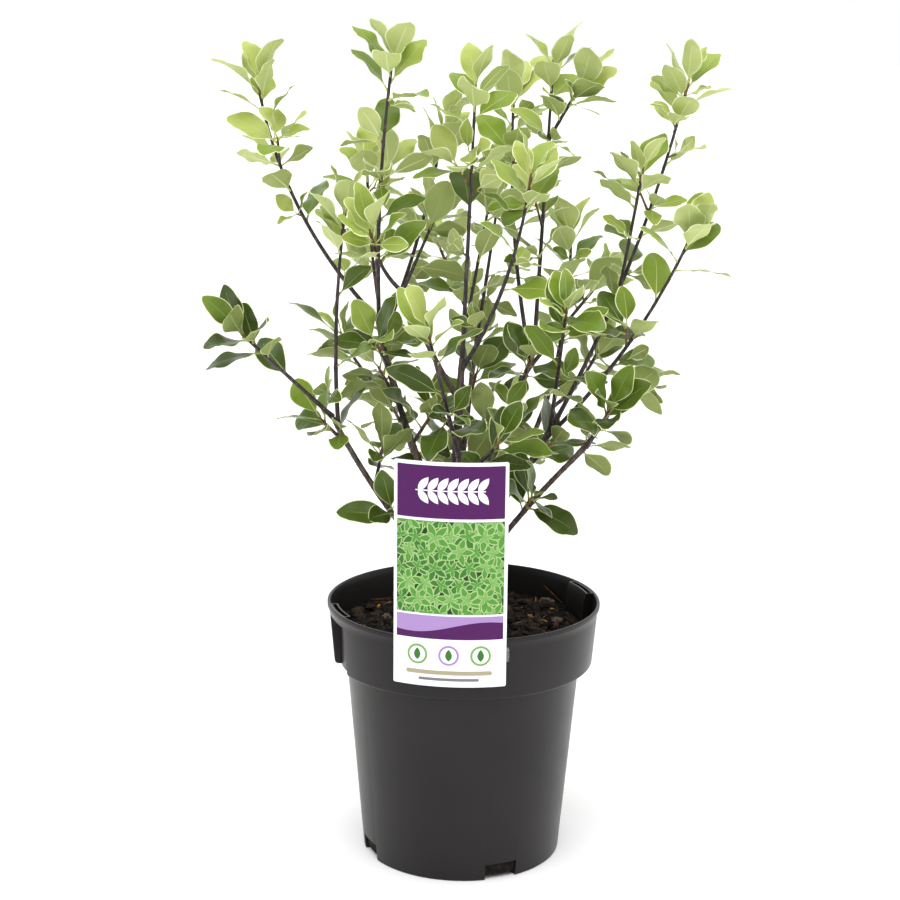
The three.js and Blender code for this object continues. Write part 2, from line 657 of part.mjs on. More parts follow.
// Short side twigs on a long shoot, each with a small tuft.
function sideTwigs(limb, seed, leafyFrom) {
  const twigs = [];
  const random = randomRun(seed * SEEDS.twigRun + SEEDS.twigShift);
  const count = Math.floor(limb.length / TWIG.every);
  const start = random() * 2 * Math.PI;
  const sizes = { footRadius: TWIG.radius, tipRadius: TWIG.tipRadius, sides: SHOOT.sides, steps: TWIG.steps };
  for (let i = 0; i < count; i++) {
    const share = (i + mix(...TWIG.draw, random())) / count;
    const t = mix(leafyFrom + TWIG.aboveBare, TWIG.highest, share);
    const stem = limb.direction(t);
    const along = leaning(stem, perpendicular(stem, start + i * GOLDEN_ANGLE), TWIG.pitch);
    const reach = mix(...TWIG.reach, random());
    const tip = limb.point(t).addScaledVector(along, reach);
    tip.z += reach * TWIG.lift;
    twigs.push(new Limb({ ...sizes, name: limb.name, start: limb.point(t), tip }));
  }
  return twigs;
}

// Build: limbs first, then every shoot's stem, and the leaves last, so that leaves keep clear of all wood

const limbs = new Map();

function growTrunk() {
  const trunk = new Limb({ ...TRUNK, ...LIMB, start: vec(TRUNK.foot), tip: vec(TRUNK.tip) });
  trunk.parent = null;
  limbs.set(trunk.name, trunk);
}

function startOn(parent, at) {
  const start = parent.point(at);
  if (at === 1) start.addScaledVector(parent.direction(1), CLEARANCE);
  return start;
}

function growBoughs() {
  for (const [name, on, at, tip, sway, footRadius] of BOUGHS) {
    const parent = limbs.get(on);
    const sizes = { ...LIMB, footRadius, tipRadius: BOUGH_TIP_RADIUS };
    const bough = new Limb({ ...sizes, name, start: startOn(parent, at), tip: vec(tip), sway });
    bough.parent = parent;
    limbs.set(name, bough);
  }
}

// The stems of one mass: its shoot, a fork where it has one, and their side twigs.
function massStems([name, on, at, tip, sway, leafyFrom, fork], seed) {
  const parent = limbs.get(on);
  const shoot = shootLimb(name, startOn(parent, at), vec(tip), sway);
  const shoots = [{ ...SHOOT_GROWTH, limb: shoot, leafyFrom, seed }];
  if (fork) {
    const [forkAt, forkTip] = fork;
    const limb = shootLimb(name, shoot.point(forkAt), vec(forkTip), NO_SWAY, FORK_SHARE);
    shoots.push({ ...SHOOT_GROWTH, limb, leafyFrom: FORK_LEAFY_FROM, seed: seed + SEEDS.forks });
  }
  const twigs = shoots.flatMap((s) =>
    sideTwigs(s.limb, s.seed, s.leafyFrom).map((limb, i) => ({
      ...TWIG_GROWTH, limb, leafyFrom: TWIG.leafyFrom, seed: s.seed + SEEDS.twigs + i,
    })),
  );
  return { name, parent, stems: [...shoots, ...twigs], young: tip[2] > YOUNG_ABOVE };
}

function sprayStems() {
  const found = [];
  SPRAYS.forEach((row, r) => {
    const parent = limbs.get(row.on);
    row.at.forEach((at, i) => {
      const seed = SEEDS.sprays + r * SEEDS.spray + i;
      const random = randomRun(seed);
      const stem = parent.direction(at);
      const out = perpendicular(stem, r * SPRAY.turn + i * GOLDEN_ANGLE);
      out.z = Math.abs(out.z) + SPRAY.lift;
      const along = leaning(stem, out, SPRAY.pitch).normalize();
      const tip = parent.point(at).addScaledVector(along, mix(...SPRAY.reach, random()));
      const name = `spray_${row.on.replace("bough_", "")}_${i + 1}`;
      const limb = shootLimb(name, parent.point(at), tip, NO_SWAY, FORK_SHARE, SPRAY.steps);
      const stems = [{ ...SPRAY_GROWTH, limb, leafyFrom: SPRAY.leafyFrom, seed }];
      found.push({ name, parent, young: false, stems });
    });
  });
  return found;
}

// A limb's own solid, cut clear of the limb that carries it.
function limbSolid(limb) {
  const made = solid(limb.geometry());
  return limb.parent ? made.subtract(solid(limb.parent.geometry(CLEARANCE))) : made;
}

function massSolid({ parent, stems }) {
  const parts = stems.flatMap(({ limb, leaves }) => [limb, ...leaves]);
  const pieces = parts.map((part) => solid(part.geometry()));
  return pieces.reduce((whole, piece) => whole.add(piece)).subtract(solid(parent.geometry(CLEARANCE)));
}

growTrunk();
growBoughs();
const masses = [...MASSES.map((row, i) => massStems(row, SEEDS.shoots + i)), ...sprayStems()];
for (const limb of limbs.values()) addWood(limb);
for (const mass of masses) for (const stem of mass.stems) addWood(stem.limb);
for (const mass of masses) for (const stem of mass.stems) stem.leaves = growLeaves(stem);

const plant = new THREE.Group();
plant.name = "potted_pittosporum";
plant.add(meshOf("pot", potSolid(), MATERIALS.pot));
plant.add(meshOf("potting_mix", soilSolid(), MATERIALS.soil));
for (const limb of limbs.values()) plant.add(meshOf(limb.name, limbSolid(limb), MATERIALS.bark));
for (const mass of masses) {
  plant.add(meshOf(mass.name, massSolid(mass), mass.young ? MATERIALS.young : MATERIALS.mature));
}
plant.add(meshOf("plant_label", labelSolid(), MATERIALS.label));
plant.add(meshOf("label_clip", clipSolid(), MATERIALS.clip));

export default plant;
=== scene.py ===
# A potted pittosporum: a young many-stemmed shrub, about 0.6 m tall with its pot.
# A short trunk stands in a round nursery pot of potting mix. Low boughs leave it all round, and leafy
# shoots leave the boughs. A printed plant label hangs on the front of the pot's rim in a clip.
# Metres, +Z up. The origin is the centre of the pot's flat underside, and -Y is the label's side.
import json
import math

import bpy
import numpy as np
from mathutils import Matrix, Vector, noise

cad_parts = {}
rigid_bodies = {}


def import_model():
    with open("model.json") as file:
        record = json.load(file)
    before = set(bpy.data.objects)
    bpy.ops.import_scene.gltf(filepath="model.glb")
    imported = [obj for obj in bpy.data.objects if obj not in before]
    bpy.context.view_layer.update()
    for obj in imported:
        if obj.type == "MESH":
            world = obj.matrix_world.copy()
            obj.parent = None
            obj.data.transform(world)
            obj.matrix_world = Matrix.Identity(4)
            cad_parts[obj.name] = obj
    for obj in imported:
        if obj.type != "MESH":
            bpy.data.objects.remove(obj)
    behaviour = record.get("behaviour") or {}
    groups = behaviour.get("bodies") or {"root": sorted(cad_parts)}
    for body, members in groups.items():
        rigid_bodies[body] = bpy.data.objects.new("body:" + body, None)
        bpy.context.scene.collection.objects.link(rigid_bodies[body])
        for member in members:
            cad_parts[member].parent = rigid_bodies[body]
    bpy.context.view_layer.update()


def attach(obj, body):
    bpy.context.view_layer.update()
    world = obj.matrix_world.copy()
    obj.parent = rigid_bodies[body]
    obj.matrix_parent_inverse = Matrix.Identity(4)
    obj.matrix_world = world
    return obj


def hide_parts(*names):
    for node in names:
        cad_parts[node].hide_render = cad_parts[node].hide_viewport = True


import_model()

# Camera: a short tele lens, a little above the crown and looking down
CAMERA_PLACE = (-0.0111, -1.334, 0.5949)
CAMERA_PITCH = 12.41  # degrees below level
CAMERA_ROLL = 0.58
LENS = 75.6
SENSOR = 36.0

# Sizes of the pot and of what hangs on it
CLEARANCE = 0.0003
BEYOND = 0.002  # how far a cut runs past the surface that it opens
POT_HEIGHT = 0.190
POT_FOOT_RADIUS = 0.073
POT_WALL_TOP_RADIUS = 0.0858
BAND_FOOT = 0.144
BAND_FOOT_RADIUS = 0.0952
BAND_CORNER = (0.004, 0.0025)  # width and height of the rim band's round lower edge
BAND_TOP_RADIUS = 0.0982
LIP_FOOT = 0.184  # height where the band flares out into its lip
LIP_EDGE = 0.187  # height where the flare ends
LIP_RADIUS = 0.100
LIP_FACE = 0.0022  # width of the lip's flat top
LIP_LEAD = 0.004  # how far under the lip's foot the flare begins
POT_ROUNDING = 0.0009
POT_WALL = 0.0015
POT_SEGMENTS = 192
GRIP_AZIMUTHS = (20, 199.5)
GRIP_HALF_WIDTH = 9.5  # degrees
GRIP_BACK = ((0.0904, 0.144), (0.0916, 0.182), (0.094, 0.190))  # radius of the pocket's back, and height
GRIP_WALL = 0.0012
GRIP_OPEN_TOP = 0.182  # height where its opening to the outside ends
GRIP_TOP = 0.1896
GRIP_INSET = 0.00005  # how far a grip's sides stay under the band's own surface
DRAIN_FIRST = 23
DRAIN_COUNT = 4
DRAIN_HALF_WIDTH = 9.5
DRAIN_HEIGHT = 0.012
DRAIN_INNER_RADIUS = 0.058
DRAIN_OUTER_RADIUS = 0.082
SOIL_TOP = 0.171
SOIL_EDGE = 0.168
LABEL_WIDTH = 0.080
LABEL_LOW = 0.157
LABEL_HIGH = 0.315
LABEL_THICKNESS = 0.0008
LABEL_AZIMUTH = 264
CLIP_THICKNESS = 0.0008

# Sizes of the plant's wood
LIMB_STEPS = 7  # straight runs that leaves keep clear of
SHOOT_STEPS = 5
SHOOT_FOOT_RADIUS = 0.0017
SHOOT_TIP_RADIUS = 0.0009
SLIM = 0.8  # radius of a fork's foot, a spray's foot or a twig's tip, as a share of the plain one
FORK_LEAFY_FROM = 0.25  # share of its length that is bare
TWIG_EVERY = 0.170
TWIG_RADIUS = 0.0009
TWIG_REACH = (0.012, 0.024)
TWIG_PITCH = 0.8
TWIG_LIFT = 0.15  # how far its tip rises, as a share of its reach
TWIG_FIRST_UP = 0.06  # share of the shoot from its first leaves to its first twig
TWIG_LAST = 0.8  # share of the shoot above which no twig is
TWIG_LEAFY_FROM = 0.55
TWIG_TIP_LEAVES = 3
TWIG_TUFT_STEP = 0.002
TWIG_LEAF_STEP = 0.009
BOUGH_TIP_RADIUS = 0.0018
TRUNK_FLARE = 0.0040
TRUNK_FLARE_HEIGHT = 0.006

# Sizes of the leaves, as the solids have them
LEAF_LENGTH = (0.032, 0.044)
LEAF_YOUNGEST = 0.8
LEAF_FULL_AGE = 0.62
LEAF_WIDTH = (0.50, 0.64)  # share of the length
LEAF_FOLD = (0.05, 0.20)  # how far the edges stand above the midrib, as a share of width
LEAF_CURL = (0.06, 0.27)  # how far the tip bends back, as a share of length
STALK = 0.14  # share of the length that is stalk
STALK_HALF_WIDTH = 0.06  # share of half the blade's width
TIP_ROUNDNESS = 0.62  # the smaller, the blunter the blade's tip
FOOT_ROUNDNESS = 0.92
BLADE_SKEW = 1.1  # above 1, the widest place is nearer the tip
YOUNG_FOLD, FOLD_LOSS = 1.3, 0.5  # fold of the youngest leaf as a share, and how much of it goes with age
YOUNG_CURL, CURL_GAIN = 0.65, 0.35
TIP_LEAVES = 7
SHOOT_PITCH = (0.22, 0.95)  # from the stem, of the youngest and of a full-grown leaf, in radians
SPRAY_PITCH = (0.35, 1.2)
TUFT_STEP = 0.0024
TUFT_WIDENING = 0.25  # how much wider each further step down a tuft is, as a share of the first
FIRST_LEAF_PLACE = 0.4  # how far the youngest leaf's age is along the first leaf's share of a tuft
LEAF_STEP = 0.027
LEAST_LEAF_STEP, LEAF_STEP_SPREAD = 0.85, 0.3  # shares of a step: the shortest, and what chance adds
TOP_LEAF_DOWN = 0.0012  # how far under the shoot's tip its youngest leaf stands
LEAF_LIFT = 0.12  # how much a leaf leans upwards
FACE_OUT, FACE_UP = 0.15, 0.35  # how much its face turns from the stem, and to the sky
TURN_SPREAD, PITCH_SPREAD, ROLL_SPREAD = 0.5, 0.35, 0.7  # radians, from one leaf to the next
TRIES = 4
TURN_OF_TRY, PITCH_OF_TRY = 0.7, 0.08  # how far each further try for a free place moves the leaf
LEAF_GAP = 0.0022
LIMB_GAP = 0.0016
OWN_LIMB_GAP = 0.0004
BLADE_FROM = 0.2  # share of the length from which a blade keeps clear of others
LEAF_REACH = 0.6  # how far a leaf reaches from its middle, as a share of its length
MOST_LEAVES = 4096
GOLDEN_ANGLE = math.pi * (3 - math.sqrt(5))

# The space that the crown keeps to
CROWN_LOW = (-0.181, -0.158, 0.196)
CROWN_HIGH = (0.191, 0.172, 0.606)
CROWN_SOIL_GAP = 0.014
CROWN_POT_GAP = 0.008
CROWN_RIM_INNER = 0.084  # from this radius outwards it keeps over the pot's rim
CROWN_LABEL_GAP = 0.006
CROWN_LABEL_RISE = 0.004

# The trunk: foot, tip, sway, foot radius and tip radius
TRUNK = ((-0.004, 0, SOIL_TOP + CLEARANCE), (-0.003, -0.012, 0.372), (-0.003, 0, 0), 0.0058, 0.0022)

# The boughs: name, the limb each leaves and at which share of it, tip, sway and foot radius
BOUGHS = (
    ("bough_right_low", "trunk", 0.09, (0.083, -0.05, 0.315), (-0.003, 0, 0.003), 0.0021),
    ("bough_left_low", "trunk", 0.13, (-0.094, -0.03, 0.331), (-0.005, 0, -0.003), 0.0025),
    ("bough_back_right", "trunk", 0.17, (0.062, 0.082, 0.322), (0.004, 0.005, -0.004), 0.0023),
    ("bough_front", "trunk", 0.2, (-0.005, -0.06, 0.31), (0, -0.005, -0.004), 0.0021),
    ("bough_right", "trunk", 0.24, (0.063, -0.018, 0.326), (0.002, 0, -0.002), 0.0026),
    ("bough_back_left", "trunk", 0.27, (-0.052, 0.076, 0.33), (-0.004, 0.005, -0.004), 0.0023),
    ("bough_left", "trunk", 0.31, (-0.064, 0.008, 0.395), (-0.006, 0, -0.001), 0.0029),
    ("bough_centre_right", "trunk", 0.36, (0.049, 0.022, 0.37), (0.002, 0.001, -0.002), 0.0027),
    ("bough_back", "trunk", 0.42, (0.006, 0.088, 0.352), (0, 0.006, -0.005), 0.0023),
    ("bough_centre_left", "trunk", 0.84, (-0.04, -0.03, 0.416), (-0.003, -0.003, 0), 0.0021),
)

# The masses of foliage: name, limb, share of it, tip, sway and bare share
NO_SWAY = (0, 0, 0)
MASSES = (
    ("foliage_left_low", "bough_left_low", 1, (-0.153, -0.082, 0.399), NO_SWAY, 0.42),
    ("foliage_left_upright", "bough_left_low", 0.94, (-0.085, -0.025, 0.478), (-0.004, 0, -0.004), 0.2),
    ("foliage_left_high", "bough_left", 1, (-0.15, 0.026, 0.563), (-0.014, 0.004, -0.006), 0.4),
    ("foliage_left_tall", "bough_left", 0.96, (-0.052, -0.04, 0.58), (-0.004, -0.004, 0), 0.3),
    ("foliage_left_inner", "bough_left", 0.91, (-0.018, 0.05, 0.528), (0.003, 0.002, -0.005), 0.4),
    ("foliage_front_left", "bough_centre_left", 1, (-0.066, -0.074, 0.468), (-0.004, -0.003, -0.004), 0.3),
    ("foliage_front", "bough_front", 1, (-0.027, -0.108, 0.406), NO_SWAY, 0.1),
    ("foliage_front_low", "bough_front", 0.9, (0.023, -0.092, 0.33), (0.002, -0.003, -0.003), 0.2),
    ("foliage_centre_tall", "trunk", 1, (0.004, -0.023, 0.562), NO_SWAY, 0.42),
    ("foliage_centre_front", "trunk", 0.95, (0.041, -0.074, 0.506), (0.007, -0.002, -0.004), 0.3),
    ("foliage_back_centre", "bough_centre_right", 0.95, (0.034, 0.098, 0.551), (-0.006, 0.006, 0), 0.45),
    ("foliage_top", "bough_centre_right", 1, (0.06, 0.041, 0.58), NO_SWAY, 0.1),
    ("foliage_right_inner", "bough_centre_right", 0.9, (0.1, 0.062, 0.418), NO_SWAY, 0.3),
    ("foliage_right_high", "bough_right", 1, (0.152, 0, 0.566), (0.007, -0.001, -0.005), 0.2),
    ("foliage_right_front", "bough_right", 0.95, (0.065, -0.098, 0.42), NO_SWAY, 0.15),
    ("foliage_right_mid", "bough_right", 0.89, (0.154, -0.041, 0.466), (0.007, 0, -0.006), 0.25),
    ("foliage_right_low", "bough_right_low", 1, (0.124, -0.014, 0.366), NO_SWAY, 0.1),
    ("foliage_back_left_high", "bough_back_left", 1, (-0.076, 0.106, 0.5), (-0.005, 0.006, -0.005), 0.15),
    ("foliage_back_left_low", "bough_back_left", 0.93, (-0.096, 0.1, 0.372), (-0.004, 0.003, -0.005), 0.15),
    ("foliage_back_high", "bough_back", 1, (0.027, 0.134, 0.492), (0, 0.008, -0.005), 0.25),
    ("foliage_back_low", "bough_back", 0.92, (0.012, 0.142, 0.366), (0, 0.003, -0.004), 0.2),
    ("foliage_back_right_high", "bough_back_right", 1, (0.08, 0.112, 0.446), (0.004, 0.006, -0.005), 0.15),
    ("foliage_back_right_low", "bough_back_right", 0.93, (0.104, 0.098, 0.366), (0.005, 0.003, -0.005), 0.15),
)

# The shoots that fork: at which share, and the fork's tip
FORKS = {
    "foliage_front_left": (0.12, (-0.022, 0.024, 0.47)),
    "foliage_centre_tall": (0.06, (0.017, 0.053, 0.482)),
    "foliage_top": (0.72, (0.08, 0.034, 0.562)),
    "foliage_right_high": (0.42, (0.12, -0.024, 0.508)),
    "foliage_right_low": (0.15, (0.098, -0.074, 0.348)),
    "foliage_back_high": (0.14, (-0.024, 0.138, 0.44)),
}

# Short leafy sprays on the older wood: the limb, and the shares of it
SPRAYS = (
    ("bough_left_low", (0.4, 0.62, 0.84)),
    ("bough_left", (0.45, 0.63, 0.8)),
    ("trunk", (0.52, 0.72)),
    ("bough_centre_right", (0.45, 0.8)),
    ("bough_right", (0.42, 0.68)),
    ("bough_right_low", (0.5, 0.84)),
    ("bough_back_left", (0.45, 0.75)),
    ("bough_back_right", (0.45, 0.75)),
    ("bough_back", (0.45, 0.75)),
)
SPRAY_REACH = (0.026, 0.038)
SPRAY_LEAN = 1.0
SPRAY_LIFT = 0.2
SPRAY_TURN = 1.3  # radians round the stem, from one limb's first spray to the next limb's
SPRAY_LEAFY_FROM = 0.3
SPRAY_TIP_LEAVES = 5
SPRAY_LEAF_STEP = 0.008

# Where the runs of random numbers start
FIRST_MASS_SEED = 11
FIRST_SPRAY_SEED = 700
FIRST_SPUR_SEED = 5000


# Small helpers

def mix(a, b, t):
    return a + (b - a) * t


def unit(v):
    return v / math.sqrt(v @ v)


def cross(a, b):
    return np.array((a[1] * b[2] - a[2] * b[1], a[2] * b[0] - a[0] * b[2], a[0] * b[1] - a[1] * b[0]))


def turned(v, axis, angle):
    c, s = math.cos(angle), math.sin(angle)
    return v * c + cross(axis, v) * s + axis * (axis @ v) * (1 - c)


def smoothstep(low, high, x):
    t = np.clip((x - low) / (high - low), 0, 1)
    return t * t * (3 - 2 * t)


def random_run(seed):
    """A repeatable run of numbers from 0 to 1."""
    mask = 0xFFFFFFFF
    state = seed & mask

    def draw():
        nonlocal state
        state = (state + 0x6D2B79F5) & mask
        t = ((state ^ (state >> 15)) * (state | 1)) & mask
        t ^= (t + (((t ^ (t >> 7)) * (t | 61)) & mask)) & mask
        return ((t ^ (t >> 14)) & mask) / 4294967296

    return draw


# Materials

def linear(r, g, b):
    """A display colour from 0 to 255 as the linear colour that a shader takes."""
    shares = [v / 255 for v in (r, g, b)]
    return tuple(v / 12.92 if v <= 0.04045 else ((v + 0.055) / 1.055) ** 2.4 for v in shares) + (1.0,)


class Material:
    """A Principled material that nodes can be added to."""

    def __init__(self, name, colour, roughness, specular=0.5):
        self.data = bpy.data.materials.new(name)
        self.data.use_nodes = True
        self.tree = self.data.node_tree
        self.shader = self.tree.nodes["Principled BSDF"]
        self.shader.inputs["Base Color"].default_value = linear(*colour)
        self.shader.inputs["Roughness"].default_value = roughness
        self.shader.inputs["Specular IOR Level"].default_value = specular
        self.data.diffuse_color = linear(*colour)

    def node(self, kind, **values):
        made = self.tree.nodes.new("ShaderNode" + kind)
        for key, value in values.items():
            made.inputs[key.replace("_", " ")].default_value = value
        return made

    def link(self, source, target):
        self.tree.links.new(source, target)

    def place(self, stretch=(1, 1, 1)):
        """The point on the surface, in metres, with each axis scaled."""
        mapping = self.node("Mapping", Scale=stretch)
        self.link(self.node("TexCoord").outputs["Object"], mapping.inputs["Vector"])
        return mapping.outputs["Vector"]

    def noise(self, scale, detail=3.0, stretch=(1, 1, 1)):
        made = self.node("TexNoise", Scale=scale, Detail=detail)
        self.link(self.place(stretch), made.inputs["Vector"])
        return made.outputs["Fac"]

    def ramp(self, factor, *stops):
        """Colours dealt out along a factor, as (position, display colour)."""
        made = self.tree.nodes.new("ShaderNodeValToRGB")
        elements = made.color_ramp.elements
        while len(elements) < len(stops):
            elements.new(0.5)
        for element, (position, colour) in zip(elements, stops):
            element.position = position
            element.color = linear(*colour)
        self.link(factor, made.inputs["Fac"])
        return made.outputs["Color"]

    def colour_from(self, socket):
        self.link(socket, self.shader.inputs["Base Color"])

    def roughness_from(self, factor, low, high):
        made = self.node("MapRange", To_Min=low, To_Max=high)
        self.link(factor, made.inputs["Value"])
        self.link(made.outputs["Result"], self.shader.inputs["Roughness"])

    def bump(self, factor, strength, distance):
        made = self.node("Bump", Strength=strength, Distance=distance)
        self.link(factor, made.inputs["Height"])
        previous = self.shader.inputs["Normal"].links
        if previous:
            self.link(previous[0].from_socket, made.inputs["Normal"])
        self.link(made.outputs["Normal"], self.shader.inputs["Normal"])


def pot_material():
    made = Material("pot_plastic", (25, 22, 22), 0.36, 0.26)
    broad = made.noise(16, 2)
    fine = made.noise(900, 2)
    scuffs = made.noise(45, 4)
    made.colour_from(made.ramp(broad, (0.3, (22, 19, 19)), (0.7, (28, 24, 24))))
    made.roughness_from(scuffs, 0.30, 0.42)
    made.bump(fine, 0.06, 0.0002)
    return made.data


def soil_material():
    made = Material("potting_mix", (40, 32, 28), 0.95, 0.2)
    grain = made.noise(240, 6)
    clods = made.noise(60, 4)
    made.colour_from(made.ramp(grain, (0.3, (10, 8, 7)), (0.55, (28, 22, 18)), (0.78, (56, 42, 34))))
    made.bump(clods, 0.5, 0.002)
    made.bump(grain, 0.9, 0.001)
    return made.data


def chip_material(name, colour):
    """Weathered bark or straw: a colour with darker and paler streaks."""
    made = Material(name, colour, 0.9, 0.2)
    grain = made.noise(520, 5)
    dark = tuple(0.45 * c for c in colour)
    pale = tuple(1.35 * c for c in colour)
    made.colour_from(made.ramp(grain, (0.36, dark), (0.52, colour), (0.68, pale)))
    made.bump(grain, 0.8, 0.0008)
    return made.data


def bark_material(name, dark, mid, pale, roughness, scale=1.0):
    made = Material(name, mid, 0.7, 0.4)
    fissures = made.noise(420 * scale, 5, (1, 1, 0.18))
    blotches = made.noise(90 * scale, 3)
    flecks = made.noise(1300 * scale, 2)
    made.colour_from(made.ramp(fissures, (0.3, dark), (0.52, mid), (0.72, pale)))
    made.roughness_from(blotches, *roughness)
    made.bump(fissures, 0.5, 0.0006)
    made.bump(flecks, 0.2, 0.0002)
    return made.data


def leaf_material(name, colour, roughness, specular, quilting):
    made = Material(name, colour, roughness, specular)
    veins = made.node("TexVoronoi", Scale=420.0)
    veins.feature = "SMOOTH_F1"
    made.link(made.place(), veins.inputs["Vector"])
    made.bump(veins.outputs["Distance"], quilting, 0.0003)
    return made.data


def plain_material(name, colour, roughness, specular=0.5, grain=0.04):
    made = Material(name, colour, roughness, specular)
    made.bump(made.noise(1500, 2), grain, 0.0002)
    return made.data


# Meshes

def triangle_mesh(name, points, triangles, materials, shade=None, sharp=40):
    """A smooth-shaded piece of triangles. "shade" gives each triangle's material number."""
    mesh = bpy.data.meshes.new(name)
    points = np.asarray(points, dtype=np.float32)
    triangles = np.asarray(triangles, dtype=np.int32)
    mesh.vertices.add(len(points))
    mesh.vertices.foreach_set("co", points.ravel())
    mesh.loops.add(triangles.size)
    mesh.loops.foreach_set("vertex_index", triangles.ravel())
    mesh.polygons.add(len(triangles))
    mesh.polygons.foreach_set("loop_start", np.arange(0, triangles.size, 3, dtype=np.int32))
    for material in materials:
        mesh.materials.append(material)
    if shade is not None:
        mesh.polygons.foreach_set("material_index", np.asarray(shade, dtype=np.int32))
    mesh.update(calc_edges=True)
    mesh.validate()
    mesh.shade_smooth()
    mesh.set_sharp_from_angle(angle=math.radians(sharp))
    piece = bpy.data.objects.new(name, mesh)
    bpy.context.scene.collection.objects.link(piece)
    return piece


class Gathered:
    """Points and triangles of many small bodies, on the way to one mesh."""

    def __init__(self):
        self.points = []
        self.triangles = []
        self.shades = []
        self.count = 0

    def add(self, points, triangles, shade=0):
        self.points.append(points)
        self.triangles.append(np.asarray(triangles) + self.count)
        self.shades.append(np.broadcast_to(np.asarray(shade), (len(triangles),)))
        self.count += len(points)

    def piece(self, name, materials, sharp=40):
        return triangle_mesh(
            name, np.concatenate(self.points), np.concatenate(self.triangles), materials,
            np.concatenate(self.shades), sharp,
        )


def grid_triangles(rows, columns, closed):
    """Triangles over a grid of points, row after row. A closed grid joins its last column to its first."""
    found = []
    for i in range(rows - 1):
        for k in range(columns if closed else columns - 1):
            a, b = i * columns + k, i * columns + (k + 1) % columns
            found += [(a, b, b + columns), (a, b + columns, a + columns)]
    return found


def capped_triangles(rows, columns):
    """Triangles over rings of points, row after row, and to the two end points that follow them."""
    found = grid_triangles(rows, columns, True)
    foot, tip, last = rows * columns, rows * columns + 1, (rows - 1) * columns
    for k in range(columns):
        after = (k + 1) % columns
        found += [(foot, after, k), (tip, last + k, last + after)]
    return np.array(found)


def tube(centres, radii, sides):
    """A closed tube along centres. Radii holds one value a station, or one a station and side."""
    centres = np.asarray(centres)
    radii = np.asarray(radii)
    if radii.ndim == 1:
        radii = np.repeat(radii[:, None], sides, axis=1)
    steps = np.gradient(centres, axis=0)
    along = steps / np.linalg.norm(steps, axis=1)[:, None]
    angles = 2 * math.pi * np.arange(sides) / sides
    side = perpendicular(along[0])
    points = []
    for centre, direction, ring in zip(centres, along, radii):
        side = unit(side - direction * (side @ direction))
        across = cross(direction, side)
        aside, around = (np.cos(angles) * ring)[:, None], (np.sin(angles) * ring)[:, None]
        points.append(centre + aside * side + around * across)
    points = np.concatenate(points + [centres[:1], centres[-1:]])
    return points, capped_triangles(len(centres), sides)


def lathe(profile, segments):
    """A closed skin round +Z from points (radius, height) that start and end on the axis."""
    angles = 2 * math.pi * np.arange(segments) / segments
    rings = [(r * np.cos(angles), r * np.sin(angles), np.full(segments, z)) for r, z in profile[1:-1]]
    points = np.concatenate([np.stack(ring, axis=1) for ring in rings])
    points = np.concatenate([points, [[0, 0, profile[0][1]], [0, 0, profile[-1][1]]]])
    return points, capped_triangles(len(profile) - 2, segments)


def rounded(corners, radius, steps=4):
    """A profile with the sharp corners between its ends rounded by arcs of about the given radius."""
    nearly_straight = math.cos(math.radians(20))
    found = [corners[0]]
    for before, corner, after in zip(corners, corners[1:], corners[2:]):
        before, corner, after = np.array(before), np.array(corner), np.array(after)
        back, on = before - corner, after - corner
        if -(unit(back) @ unit(on)) > nearly_straight:
            found.append(tuple(corner))
            continue
        reach = min(radius, 0.45 * math.hypot(*back), 0.45 * math.hypot(*on))
        start = corner + unit(back) * reach
        end = corner + unit(on) * reach
        for i in range(steps + 1):
            t = i / steps
            found.append(tuple((1 - t) ** 2 * start + 2 * (1 - t) * t * corner + t * t * end))
    found.append(corners[-1])
    return found


def ring_block(inner, outer, low, high, from_azimuth, to_azimuth, steps=12):
    """A closed block of a ring round +Z, between two radii, two heights and two azimuths in degrees."""
    angles = np.radians(np.linspace(from_azimuth, to_azimuth, steps + 1))
    corners = ((inner, low), (outer, low), (outer, high), (inner, high))
    points = [(r * math.cos(a), r * math.sin(a), z) for a in angles for r, z in corners]
    triangles = [(b, a, c) for a, b, c in grid_triangles(steps + 1, 4, True)]
    last = steps * 4
    triangles += [(0, 1, 2), (0, 2, 3), (last, last + 2, last + 1), (last, last + 3, last + 2)]
    return np.array(points), np.array(triangles)


def join(piece, operation, tool):
    """Joins or cuts a piece by another one, which goes."""
    modifier = piece.modifiers.new("cut", "BOOLEAN")
    modifier.operation = operation
    modifier.object = tool
    modifier.solver = "EXACT"
    apply_modifiers(piece)
    bpy.data.objects.remove(tool)


def cut(piece, operation, points, triangles):
    join(piece, operation, triangle_mesh("tool", points, triangles, []))


def apply_modifiers(piece):
    depsgraph = bpy.context.evaluated_depsgraph_get()
    made = bpy.data.meshes.new_from_object(piece.evaluated_get(depsgraph))
    piece.modifiers.clear()
    piece.data = made


def settle(piece, slot, *nodes):
    """The piece rides with the plant and stands for the named nodes, which it hides. The slot is not used."""
    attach(piece, "root")
    if nodes:
        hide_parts(*nodes)


# Limbs

